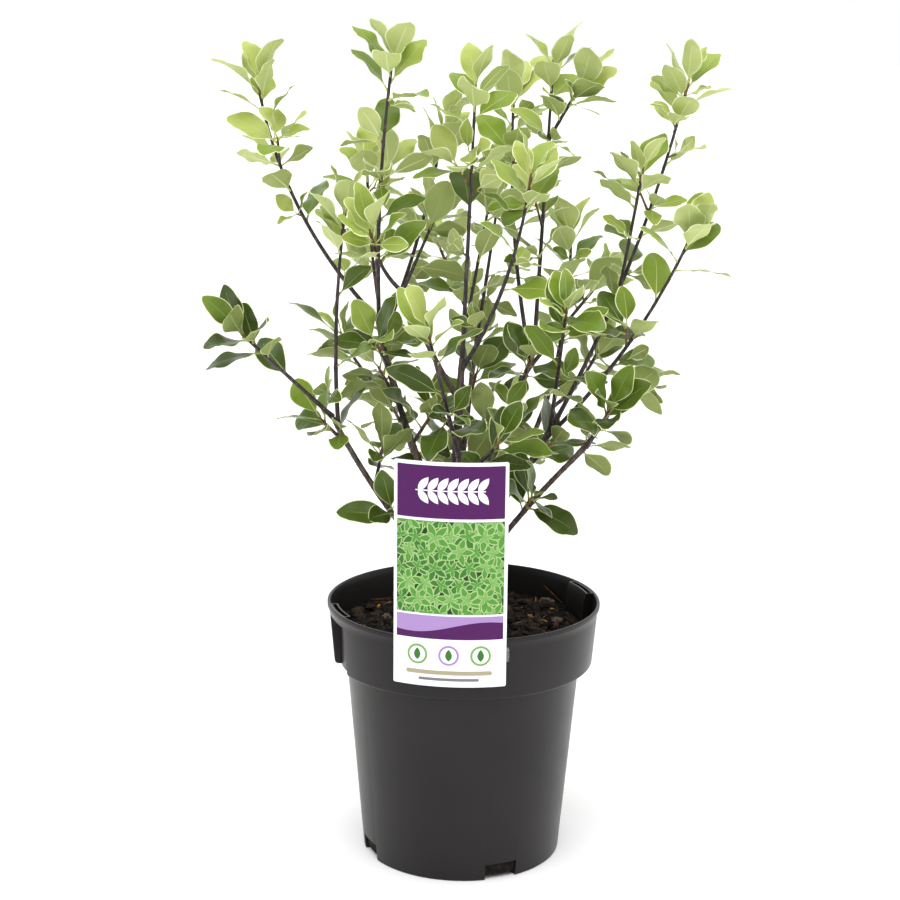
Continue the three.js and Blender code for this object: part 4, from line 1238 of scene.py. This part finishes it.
limbs = grow_limbs()
masses = [mass_stems(row, FIRST_MASS_SEED + i, limbs) for i, row in enumerate(MASSES)] + spray_stems(limbs)
stems = [stem for mass in masses for stem in mass.stems]
wood = Wood([*limbs.values(), *(stem.limb for stem in stems)])
for stem in stems:
    stem.grow()
for number, mass in enumerate(masses):
    spacing = SPUR_SPACING.get(mass.name, 1)
    for k, stem in enumerate(mass.stems):
        mass.spurs += grow_spurs(stem, FIRST_SPUR_SEED + number * 20 + k, spacing)


def make_wood():
    """The trunk and the boughs in their bark."""
    bark = bark_material("bark_old", (44, 36, 34), (82, 69, 64), (118, 103, 94), (0.6, 0.9))
    for i, limb in enumerate(limbs.values()):
        skin = bark_tube(limb, 40 if limb.parent is None else 26, i + 1)
        piece = triangle_mesh("bark_" + short_name(limb.name), *skin, [bark], sharp=70)
        settle(piece, "bark", limb.name)


def make_foliage():
    """For each limb, the shoots and spurs of all that it bears, and their leaves."""
    barks = [
        bark_material("bark_shoot", (30, 22, 26), (54, 42, 44), (96, 82, 82), (0.35, 0.6), 1.5),
        bark_material("bark_young", (84, 54, 44), (112, 82, 58), (138, 118, 76), (0.4, 0.6), 1.5),
    ]
    greens = leaf_materials()
    for limb in limbs.values():
        short = short_name(limb.name)
        held = [mass for mass in masses if mass.parent is limb]
        nodes = [mass.name for mass in held]
        shoots = Gathered()
        placed = []
        for mass in held:
            darker = OLD_LEAVES.get(mass.name, 0)
            for stem in mass.stems:
                sides, widen = STEM_LOOKS[stem.kind]
                shoots.add(*shoot_tube(stem.limb, sides, [leaf.share for leaf in stem.leaves], widen))
                placed += [(leaf, darker) for leaf in stem.leaves]
            for spur, grown in mass.spurs:
                radii = SPUR_RADIUS * np.array((1.2, 1, 0.9, 0.3))
                shoots.add(*tube(spur.points([0, 0.5, 0.9, 1]), radii, 6), 1)
                placed += [(leaf, darker) for leaf in grown]
        settle(shoots.piece("shoots_" + short, barks, 70), "bark", *nodes)
        settle(leaves_piece("leaves_" + short, placed, greens), "foliage", *nodes)


make_wood()
make_foliage()


# The pot

def band_corner(inset, steps=10):
    """The rim band's round lower edge, and the same edge further in."""
    width, height = BAND_CORNER
    found = []
    for i in range(steps + 1):
        angle = math.radians(mix(-90, 0, i / steps))
        r = BAND_FOOT_RADIUS - width + (width - inset) * math.cos(angle)
        found.append((r, BAND_FOOT + height + (height - inset) * math.sin(angle)))
    return found


def lip_flare(steps=8):
    """The smooth curve by which the band widens into its lip."""
    shares = [i / steps for i in range(steps + 1)]
    foot = LIP_FOOT - LIP_LEAD
    return [(mix(BAND_TOP_RADIUS, LIP_RADIUS, t * t), mix(foot, LIP_EDGE, t)) for t in shares]


def pot_outside():
    """The outside of the pot, from its underside to the top of its lip."""
    return [
        (0, 0), (POT_FOOT_RADIUS, 0), (POT_WALL_TOP_RADIUS, BAND_FOOT), *band_corner(0),
        *lip_flare(), (LIP_RADIUS, POT_HEIGHT),
    ]


def pot_profile():
    """The pot's section: up the outside from its underside, over the lip, and down the inside."""
    corners = [
        *pot_outside(), (LIP_RADIUS - LIP_FACE, POT_HEIGHT), (BAND_TOP_RADIUS - POT_WALL, LIP_FOOT),
        *reversed(band_corner(POT_WALL)),
        (POT_WALL_TOP_RADIUS - POT_WALL, BAND_FOOT + POT_WALL), (POT_FOOT_RADIUS - POT_WALL, POT_WALL),
        (0, POT_WALL),
    ]
    return rounded(corners, POT_ROUNDING, 3)


def within_grip_back(inset):
    """What lies inside a grip's back, or further in by an inset."""
    back = [(r - inset, z) for r, z in GRIP_BACK]
    low, high = BAND_FOOT - 2 * BEYOND, POT_HEIGHT + 2 * BEYOND
    return lathe([(0, low), (back[0][0], low), *back, (back[-1][0], high), (0, high)], POT_SEGMENTS)


def grip_block(outer, low, high, first, last, inset):
    """A block of a ring from a grip's back outwards."""
    made = triangle_mesh("grip", *ring_block(POT_WALL_TOP_RADIUS, outer, low, high, first, last), [])
    cut(made, "DIFFERENCE", *within_grip_back(inset))
    return made


def cut_grip(piece, azimuth):
    """A pocket pressed into the rim band: open outside up to the lip, and open upwards as a slot."""
    low, beyond = BAND_FOOT - BEYOND, LIP_RADIUS + BEYOND
    side = math.degrees(GRIP_WALL / BAND_TOP_RADIUS)
    first, last = azimuth - GRIP_HALF_WIDTH, azimuth + GRIP_HALF_WIDTH
    housing = grip_block(beyond, low, GRIP_TOP, first - side, last + side, GRIP_WALL)
    filled = rounded([*pot_outside(), (0, POT_HEIGHT)], POT_ROUNDING, 3)
    filled = [(max(0, r - GRIP_INSET), z + GRIP_INSET) for r, z in filled]
    cut(housing, "INTERSECT", *lathe(filled, POT_SEGMENTS))
    join(piece, "UNION", housing)
    join(piece, "DIFFERENCE", grip_block(beyond, low, GRIP_OPEN_TOP, first, last, 0))
    slot_foot, slot_top = GRIP_OPEN_TOP - BEYOND, POT_HEIGHT + BEYOND
    join(piece, "DIFFERENCE", grip_block(BAND_TOP_RADIUS - POT_WALL, slot_foot, slot_top, first, last, 0))


def make_pot():
    piece = triangle_mesh("pot_shell", *lathe(pot_profile(), POT_SEGMENTS), [pot_material()])
    for azimuth in GRIP_AZIMUTHS:
        cut_grip(piece, azimuth)
    for i in range(DRAIN_COUNT):
        azimuth = DRAIN_FIRST + i * 360 / DRAIN_COUNT
        first, last = azimuth - DRAIN_HALF_WIDTH, azimuth + DRAIN_HALF_WIDTH
        block = ring_block(DRAIN_INNER_RADIUS, DRAIN_OUTER_RADIUS, -BEYOND, DRAIN_HEIGHT, first, last)
        cut(piece, "DIFFERENCE", *block)
    piece.data.shade_smooth()
    piece.data.set_sharp_from_angle(angle=math.radians(35))
    settle(piece, "pot_plastic", "pot")


make_pot()


# The potting mix

SOIL_LEVEL_RADIUS = 0.024
SOIL_SLOPE_WIDTH = 0.066
SOIL_LUMPS = ((0.0022, 38, 3), (0.0011, 120, 9))  # height, closeness, and level in the noise
MOUND_HEIGHT = 0.003
MOUND_RADIUS = 0.012
CHIP_COUNT = 1500
FIBRE_COUNT = 90
CHIP_SIZE = (0.002, 0.0125)
CHIP_FINENESS = 2.4  # above 1, small chips are the more frequent
# Length, width and height of a chip as shares of its size, how far it leans and how high it lies
CHIP_LENGTH = (0.9, 2.0)
CHIP_WIDTH = (0.4, 0.85)
CHIP_HEIGHT = (0.2, 0.5)
CHIP_LEAN = 0.9
CHIP_RISE = (-0.02, 0.16)
CHIP_COLOURS = (
    ("chip_black", (20, 16, 14)),
    ("chip_dark", (34, 26, 21)),
    ("chip_brown", (50, 39, 32)),
    ("chip_red", (78, 50, 38)),
    ("chip_grey", (92, 78, 72)),
    ("chip_straw", (158, 116, 66)),
)
CHIP_SHARES = (0.40, 0.75, 0.90, 0.95, 0.992, 1.0)  # of all chips, up to each colour
GRANULE = ("granule", (206, 132, 40))
# Pieces that lie on top: two ends of each (x, y, height over the mix), width, thickness and colour
LARGE_PIECES = (
    ((0.0569, 0.0534, 0.004), (0.0705, 0.0434, 0.005), 0.0068, 0.0062, "chip_grey"),
    ((0.0353, 0.0424, 0.001), (0.0457, 0.0300, 0.001), 0.0036, 0.0030, "chip_brown"),
    ((-0.0850, 0.0200, 0.002), (-0.0740, 0.0300, 0.003), 0.0080, 0.0046, "chip_brown"),
    ((-0.0620, 0.0160, 0.001), (-0.0520, 0.0100, 0.002), 0.0080, 0.0050, "chip_grey"),
)
TWIG_PIECES = (
    ((0.0625, 0.0700, 0.012), (0.0765, 0.0540, 0.001), 0.0009, "chip_red"),
    ((0.0497, 0.0166, 0.001), (0.0623, 0.0025, 0.002), 0.0008, "chip_straw"),
    ((0.0555, 0.0475, 0.008), (0.0552, 0.0450, 0.001), 0.0006, "chip_straw"),
    ((-0.0713, 0.0600, 0.001), (-0.0558, 0.0570, 0.003), 0.0011, "chip_red"),
    ((-0.0730, -0.0054, 0.001), (-0.0627, -0.0063, 0.001), 0.0007, "chip_straw"),
)
GRANULE_PLACE = (-0.064, 0.0402, 0.0015)
GRANULE_SIZE = 0.003
FIBRE_MARGIN = 0.008
FIBRE_REACH = (0.004, 0.013)
FIBRE_LIFT = 0.0022
FIBRE_BOW = 0.0011
FIBRE_RADIUS = (0.00018, 0.0005)


def band_inner_radius(z):
    foot = BAND_FOOT + BAND_CORNER[1]
    return mix(BAND_FOOT_RADIUS, BAND_TOP_RADIUS, (z - foot) / (LIP_FOOT - foot)) - POT_WALL


def soil_height(x, y):
    """The surface of the potting mix: low at its edge, a little raised at the stem, and lumpy."""
    slope = min(1, max(0, (math.hypot(x, y) - SOIL_LEVEL_RADIUS) / SOIL_SLOPE_WIDTH))
    lumps = 0
    for height, waves, level in SOIL_LUMPS:
        lumps += height * noise.noise(Vector((x * waves, y * waves, level)))
    from_stem = math.hypot(x - TRUNK[0][0], y - TRUNK[0][1])
    mound = MOUND_HEIGHT * math.exp(-((from_stem / MOUND_RADIUS) ** 2))
    return mix(SOIL_TOP, SOIL_EDGE, slope) + lumps + mound


def soil_radius(angle):
    """How far the mix reaches: to the band's inner wall, and only to the grips' inner walls at them."""
    reach = band_inner_radius(SOIL_EDGE) - CLEARANCE
    grip = GRIP_BACK[0][0] - GRIP_WALL - 2 * CLEARANCE
    degrees = math.degrees(angle) % 360
    spread = GRIP_HALF_WIDTH + math.degrees((GRIP_WALL + 2 * CLEARANCE) / grip)
    return grip if any(abs(degrees - azimuth) < spread for azimuth in GRIP_AZIMUTHS) else reach


def make_soil():
    """The bed of mix: its lumpy top, and its side down the inside of the pot."""
    segments, rings = 216, 70
    inset = POT_WALL + CLEARANCE
    floor = inset + 0.001
    angles = [2 * math.pi * k / segments for k in range(segments)]
    points = []
    for j in range(1, rings + 1):
        for angle in angles:
            r = soil_radius(angle) * j / rings
            x, y = r * math.cos(angle), r * math.sin(angle)
            points.append((x, y, soil_height(x, y)))
    wall = list(reversed(band_corner(inset)))
    wall += [(POT_WALL_TOP_RADIUS - inset, BAND_FOOT + inset), (POT_FOOT_RADIUS - inset, floor)]
    for r, z in wall:
        for angle in angles:
            reach = min(soil_radius(angle), r)
            points.append((reach * math.cos(angle), reach * math.sin(angle), z))
    points += [(0, 0, soil_height(0, 0)), (0, 0, floor)]
    triangles = [(a, c, b) for a, b, c in capped_triangles(rings + len(wall), segments)]
    piece = triangle_mesh("potting_mix_bed", points, triangles, [soil_material()], sharp=80)
    settle(piece, "potting_mix", "potting_mix")


def chunk(centre, length, width, height, turn, lean, random):
    """A rough chunk of bark: a lump of jittered rings, turned about +Z and leaning by two angles."""
    ring, rows = 7, 4
    rotation = (
        Matrix.Rotation(turn, 3, "Z") @ Matrix.Rotation(lean[0], 3, "Y") @ Matrix.Rotation(lean[1], 3, "X")
    )
    points = []
    for i in range(rows):
        level = mix(-1, 1, i / (rows - 1))
        swell = math.sqrt(1 - 0.6 * level * level)
        for k in range(ring):
            angle = 2 * math.pi * (k + 0.45 * random()) / ring
            reach = swell * mix(0.68, 1.12, random())
            z = height / 2 * (level + mix(-0.2, 0.2, random()))
            points.append((length * reach * math.cos(angle) / 2, width * reach * math.sin(angle) / 2, z))
    points += [(0, 0, -0.55 * height), (0, 0, 0.55 * height)]
    points = np.array([tuple(rotation @ Vector(point)) for point in points]) + centre
    return points, capped_triangles(rows, ring)


def chip(centre, size, random):
    """A chunk of a random form, lying flat or leaning."""
    length = size * mix(*CHIP_LENGTH, random())
    width = size * mix(*CHIP_WIDTH, random())
    height = size * mix(*CHIP_HEIGHT, random())
    lean = ((random() - 0.5) * CHIP_LEAN, (random() - 0.5) * CHIP_LEAN)
    return chunk(centre, length, width, height, random() * math.pi, lean, random)


def soil_spot(random, margin):
    angle = 2 * math.pi * random()
    r = math.sqrt(random()) * (soil_radius(angle) - margin)
    return r * math.cos(angle), r * math.sin(angle)


def over_mix(place):
    """A point given by x, y and its height over the mix."""
    x, y, rise = place
    return np.array((x, y, soil_height(x, y) + rise))


def fibre(random):
    """A fine fibre that lies on the mix, bowed a little upwards."""
    x, y = soil_spot(random, FIBRE_MARGIN)
    angle = 2 * math.pi * random()
    reach = mix(*FIBRE_REACH, random())
    lift = FIBRE_LIFT * random()
    start = over_mix((x, y, 0.0006))
    end = start + np.array((math.cos(angle) * reach, math.sin(angle) * reach, lift))
    middle = (start + end) / 2 + np.array((0, 0, FIBRE_BOW * random()))
    t = np.linspace(0, 1, 5)[:, None]
    line = (1 - t) ** 2 * start + 2 * (1 - t) * t * middle + t * t * end
    radii = np.array((0.5, 1, 1, 0.8, 0.3)) * mix(*FIBRE_RADIUS, random())
    return tube(line, radii, 4)


def make_chips():
    """Loose bark chips, fibres and a few pieces that lie on top."""
    random = random_run(4242)
    chips = Gathered()
    for _ in range(CHIP_COUNT):
        size = mix(*CHIP_SIZE, random() ** CHIP_FINENESS)
        x, y = soil_spot(random, size)
        draw = random()
        shade = next(i for i, share in enumerate(CHIP_SHARES) if draw <= share)
        z = soil_height(x, y) + size * mix(*CHIP_RISE, random())
        chips.add(*chip(np.array((x, y, z)), size, random), shade)
    for _ in range(FIBRE_COUNT):
        chips.add(*fibre(random), int(2 + 4 * random()))
    names = [name for name, colour in CHIP_COLOURS]
    for first, last, width, height, colour in LARGE_PIECES:
        first, last = over_mix(first), over_mix(last)
        run = last - first
        length = np.linalg.norm(run)
        lean = (-math.asin(run[2] / length), 0.2)
        turn = math.atan2(run[1], run[0])
        made = chunk((first + last) / 2, length, width, height, turn, lean, random)
        chips.add(*made, names.index(colour))
    for first, last, radius, colour in TWIG_PIECES:
        line = np.linspace(over_mix(first), over_mix(last), 5)
        chips.add(*tube(line, np.array((0.6, 1, 0.9, 0.8, 0.4)) * radius, 5), names.index(colour))
    granule = chunk(over_mix(GRANULE_PLACE), *[GRANULE_SIZE] * 3, 0, (0, 0), random)
    chips.add(*granule, len(CHIP_COLOURS))
    materials = [chip_material(name, colour) for name, colour in CHIP_COLOURS + (GRANULE,)]
    settle(chips.piece("bark_chips", materials, 34), "potting_mix", "potting_mix")


make_soil()
make_chips()


# The label and its clip

LABEL_FACE = LABEL_INNER + LABEL_THICKNESS
LABEL_HEIGHT = LABEL_HIGH - LABEL_LOW
LABEL_CORNER = 0.0012
PRINT_STEP = 0.0025
PRINT_EDGE = LABEL_WIDTH / 2 - 0.0025
PRINTED_TIP = 0.00002  # half width of a printed leaf's ends
INK_FOOT = -0.00005
INK_LAYER = 0.00006
# Heights of the label's bands over its foot
HEADER = (0.119, 0.1555)
FIELD = (0.052, 0.117)
WAVE_TOP = 0.0505
WAVE_MIDDLE = 0.0425
WAVE_RISE = 0.004
WAVE_RUN = 60  # radians a metre
WAVE_FOOT = 0.034
SPRIG = 0.1382
SPRIG_STEM_HALF = 0.0004
ROUNDELS = 0.0225
# The rosettes: first place, steps, jitter and size
ROSETTE_FIRST = (-0.0405, 0.0515)
ROSETTE_STEP = (0.0118, 0.0110)
ROSETTE_JITTER = 0.002
ROSETTE_SIZE = (0.0092, 0.0122)

LABEL_COLOURS = {
    "white": (246, 246, 248), "purple": (78, 22, 88), "lavender": (168, 138, 192), "green": (30, 62, 26),
    "leaf_green": (58, 116, 46), "pale_green": (122, 168, 92), "tan": (167, 160, 132),
    "grey": (120, 120, 124), "fresh_green": (84, 146, 58), "leaf_edge": (168, 196, 132),
}
PRINTS = list(LABEL_COLOURS)


def on_label(u, v, h):
    """A point of the label: u to the right of its middle, v above its foot and h off its face."""
    angle = math.radians(LABEL_AZIMUTH) + u / LABEL_FACE
    r = LABEL_FACE + h
    return (r * math.cos(angle), r * math.sin(angle), LABEL_LOW + v)


def slab(rows, low, high):
    """A thin closed plate on the label over a grid of (u, v) rows, from height low to high."""
    count, columns = len(rows), len(rows[0])
    points = [on_label(u, v, h) for h in (high, low) for row in rows for u, v in row]
    half = count * columns
    top = grid_triangles(count, columns, False)
    triangles = top + [(a + half, c + half, b + half) for a, b, c in top]
    rim = [(0, k) for k in range(columns)]
    rim += [(i, columns - 1) for i in range(1, count)]
    rim += [(count - 1, k) for k in range(columns - 2, -1, -1)]
    rim += [(i, 0) for i in range(count - 2, 0, -1)]
    for (i, k), (j, m) in zip(rim, rim[1:] + rim[:1]):
        a, b = i * columns + k, j * columns + m
        triangles += [(b, a, a + half), (b, a + half, b + half)]
    return np.array(points), np.array(triangles)


def outlined(low, high, bottom, top):
    """Rows of a shape between two edges: bottom(u) and top(u), for u from low to high."""
    steps = max(2, math.ceil((high - low) / PRINT_STEP))
    us = [mix(low, high, i / steps) for i in range(steps + 1)]
    return [[(u, bottom(u)) for u in us], [(u, top(u)) for u in us]]


def rounded_box(left, right, bottom, top, radius):
    """Rows of a box with round corners."""
    def inset(u):
        over = max(0, radius - (u - left), radius - (right - u))
        return radius - math.sqrt(max(0, radius * radius - over * over))

    steps = max(24, math.ceil((right - left) / PRINT_STEP))
    us = {mix(left, right, i / steps) for i in range(steps + 1)}
    for share in (0, 0.04, 0.13, 0.3, 0.6, 1):
        us |= {left + radius * share, right - radius * share}
    us = sorted(us)
    return [[(u, bottom + inset(u)) for u in us], [(u, top - inset(u)) for u in us]]


def disc(u, v, radius):
    """Rows of a disc about (u, v)."""
    def half(x):
        return math.sqrt(max(0, radius * radius - (x - u) ** 2))

    edge = [u - radius * math.cos(math.pi * i / 18) for i in range(19)]
    return [[(x, v - half(x)) for x in edge], [(x, v + half(x)) for x in edge]]


def printed_leaf(u, v, length, width, turn):
    """A flat leaf shape from its foot at (u, v), turned from upright by an angle in degrees."""
    x, y = math.sin(math.radians(turn)), math.cos(math.radians(turn))
    rows = []
    for side in (1, 0, -1):
        row = []
        for i in range(9):
            s = i / 8
            half = width / 2 * math.sin(math.pi * s ** 0.9) ** 0.8 if 0 < i < 8 else PRINTED_TIP
            row.append((u + x * s * length - y * side * half, v + y * s * length + x * side * half))
        rows.append(row)
    return rows


class Ink(Gathered):
    """Printed shapes, as thin plates in layers."""

    def shape(self, rows, colour, layer):
        self.add(*slab(rows, INK_FOOT, INK_LAYER * layer), PRINTS.index(colour))


def wavy_edge(u):
    """Height of the wave between the label's two lowest bands."""
    return WAVE_MIDDLE + WAVE_RISE * math.sin(u * WAVE_RUN)


def print_bands(ink):
    """Bands of plain colour: a header, a field and a wavy foot."""
    ink.shape(rounded_box(-PRINT_EDGE, PRINT_EDGE, *HEADER, 0.0006), "purple", 1)
    ink.shape(outlined(-PRINT_EDGE, PRINT_EDGE, lambda u: FIELD[0], lambda u: FIELD[1]), "green", 1)
    ink.shape(outlined(-PRINT_EDGE, PRINT_EDGE, lambda u: WAVE_FOOT, wavy_edge), "purple", 1)
    ink.shape(outlined(-PRINT_EDGE, PRINT_EDGE, wavy_edge, lambda u: WAVE_TOP), "lavender", 1)


def print_sprig(ink):
    """A white sprig of paired leaves across the header."""
    low, high = SPRIG - SPRIG_STEM_HALF, SPRIG + SPRIG_STEM_HALF
    ink.shape(outlined(-0.024, 0.024, lambda u: low, lambda u: high), "white", 2)
    for i in range(7):
        for turn in (38, 142):
            ink.shape(printed_leaf(mix(-0.022, 0.019, i / 6), SPRIG, 0.0115, 0.0052, turn), "white", 3)


def in_field(rows):
    """The rows, kept to the green field."""
    low, high = FIELD
    return [[(min(PRINT_EDGE, max(-PRINT_EDGE, u)), min(high, max(low, v))) for u, v in row] for row in rows]


def print_rosette(ink, u, v, size, turn, light, layer):
    """Five outer and four young inner leaves round (u, v), each with a pale edge."""
    for i in range(9):
        young = i > 4
        length = size * (0.55 if young else 1)
        angle = turn + i * 72 + (36 if young else 0)
        middle_u = u + 0.55 * length * math.sin(math.radians(angle))
        middle_v = v + 0.55 * length * math.cos(math.radians(angle))
        if abs(middle_u) > PRINT_EDGE or not FIELD[0] < middle_v < FIELD[1]:
            continue
        colour = ("leaf_green", "fresh_green", "pale_green")[light + young]
        over = layer + (1 if young else 0) + 0.08 * i
        ink.shape(in_field(printed_leaf(u, v, length, length * 0.5, angle)), "leaf_edge", over)
        ink.shape(in_field(printed_leaf(u, v, length * 0.92, length * 0.36, angle)), colour, over + 0.25)


def print_rosettes(ink):
    """Rosettes close together over the green field."""
    random = random_run(77)
    for row in range(7):
        for k in range(8):
            u = ROSETTE_FIRST[0] + ROSETTE_STEP[0] * (k + row % 2 / 2) + ROSETTE_JITTER * (random() - 0.5)
            v = ROSETTE_FIRST[1] + ROSETTE_STEP[1] * row + ROSETTE_JITTER * (random() - 0.5)
            turn = 360 * random()
            size = mix(*ROSETTE_SIZE, random())
            print_rosette(ink, u, v, size, turn, int(2 * random()), 2 + 0.5 * ((row * 3 + k * 2) % 7))


def print_roundels(ink):
    """Three ringed leaves on the white foot, and plain bars under them."""
    for u, colour in ((-0.022, "pale_green"), (0, "lavender"), (0.022, "pale_green")):
        ink.shape(disc(u, ROUNDELS, 0.0072), colour, 1)
        ink.shape(disc(u, ROUNDELS, 0.0056), "white", 2)
        ink.shape(printed_leaf(u, ROUNDELS - 0.004, 0.0085, 0.0046, 0), "leaf_green", 3)
    ink.shape(rounded_box(-0.030, 0.030, 0.0085, 0.0115, 0.0012), "tan", 1)
    ink.shape(rounded_box(-0.021, 0.021, 0.0042, 0.0062, 0.0008), "grey", 1)


def make_label():
    """The white card, and its print as thin plates on it."""
    half = LABEL_WIDTH / 2
    plate = slab(rounded_box(-half, half, 0, LABEL_HEIGHT, LABEL_CORNER), -LABEL_THICKNESS, 0)
    white = plain_material("label_white", LABEL_COLOURS["white"], 0.32, 0.5, 0.03)
    settle(triangle_mesh("label_card", *plate, [white], sharp=30), "label_card", "plant_label")
    ink = Ink()
    for print_part in (print_bands, print_sprig, print_rosettes, print_roundels):
        print_part(ink)
    materials = [plain_material("print_" + name, LABEL_COLOURS[name], 0.4, 0.2, 0.03) for name in PRINTS]
    settle(ink.piece("label_print", materials, 30), "label_card", "plant_label")


def clip_material():
    made = Material("clip_plastic", (240, 242, 243), 0.12, 0.5)
    made.shader.inputs["Transmission Weight"].default_value = 0.92
    made.shader.inputs["IOR"].default_value = 1.45
    made.bump(made.noise(300, 2), 0.03, 0.0003)
    return made.data


make_label()
clip_node = bpy.data.objects["label_clip"]
clip_node.data.materials.clear()
clip_node.data.materials.append(clip_material())


# Floor, lights and camera

FLOOR_RADIUS = 40
FLOOR_TOP = -0.0002
FLOOR_UNDER = -0.004
WALL_TOP = 0.28  # the sine of the height angle where the white walls begin to darken
CEILING = 0.45  # strength of the light from above and from the front, where the walls have 1
FRONT = 0.22


def make_stage():
    """A white floor to the horizon, and a studio with white walls, a dimmer ceiling and a dimmer front."""
    section = [(0, FLOOR_UNDER), (FLOOR_RADIUS, FLOOR_UNDER), (FLOOR_RADIUS, FLOOR_TOP), (0, FLOOR_TOP)]
    white = plain_material("floor_white", (248, 248, 248), 0.9, 0.1, 0.0)
    floor = triangle_mesh("floor", *lathe(section, 96), [white])
    world = bpy.data.worlds.new("studio")
    world.use_nodes = True
    nodes, links = world.node_tree.nodes, world.node_tree.links
    background = nodes["Background"]
    background.inputs["Color"].default_value = (1, 1, 1, 1)
    place = nodes.new("ShaderNodeTexCoord")
    split = nodes.new("ShaderNodeSeparateXYZ")
    links.new(place.outputs["Generated"], split.inputs["Vector"])
    both = nodes.new("ShaderNodeMath")
    both.operation = "MULTIPLY"
    fades = (("Z", WALL_TOP, WALL_TOP + 0.3, 1.0, CEILING), ("Y", -0.9, 0.1, FRONT, 1.0))
    for factor, (axis, *values) in zip(both.inputs, fades):
        fade = nodes.new("ShaderNodeMapRange")
        fade.interpolation_type = "SMOOTHSTEP"
        for name, value in zip(("From Min", "From Max", "To Min", "To Max"), values):
            fade.inputs[name].default_value = value
        links.new(split.outputs[axis], fade.inputs["Value"])
        links.new(fade.outputs["Result"], factor)
    links.new(both.outputs["Value"], background.inputs["Strength"])
    bpy.context.scene.world = world
    bpy.context.scene.view_settings.view_transform = "Standard"


def make_light(name, place, strength, spread):
    """A distant soft light that shines from a place towards the plant."""
    data = bpy.data.lights.new(name, "SUN")
    data.energy = strength
    data.angle = math.radians(spread)
    light = bpy.data.objects.new(name, data)
    light.location = place
    light.rotation_euler = (-Vector(place)).to_track_quat("-Z", "Y").to_euler()
    bpy.context.scene.collection.objects.link(light)


def make_camera():
    data = bpy.data.cameras.new("camera")
    data.lens = LENS
    data.sensor_width = SENSOR
    camera = bpy.data.objects.new("camera", data)
    camera.matrix_world = (
        Matrix.Translation(CAMERA_PLACE)
        @ Matrix.Rotation(math.radians(90 - CAMERA_PITCH), 4, "X")
        @ Matrix.Rotation(math.radians(CAMERA_ROLL), 4, "Z")
    )
    bpy.context.scene.collection.objects.link(camera)
    bpy.context.scene.camera = camera


make_stage()
make_light("key", (-0.5, -0.8, 2.0), 2.6, 70)
make_light("fill", (1.5, -0.8, 1.2), 1.6, 110)
make_light("rim", (0.2, 1.4, 1.6), 0.7, 90)
make_camera()
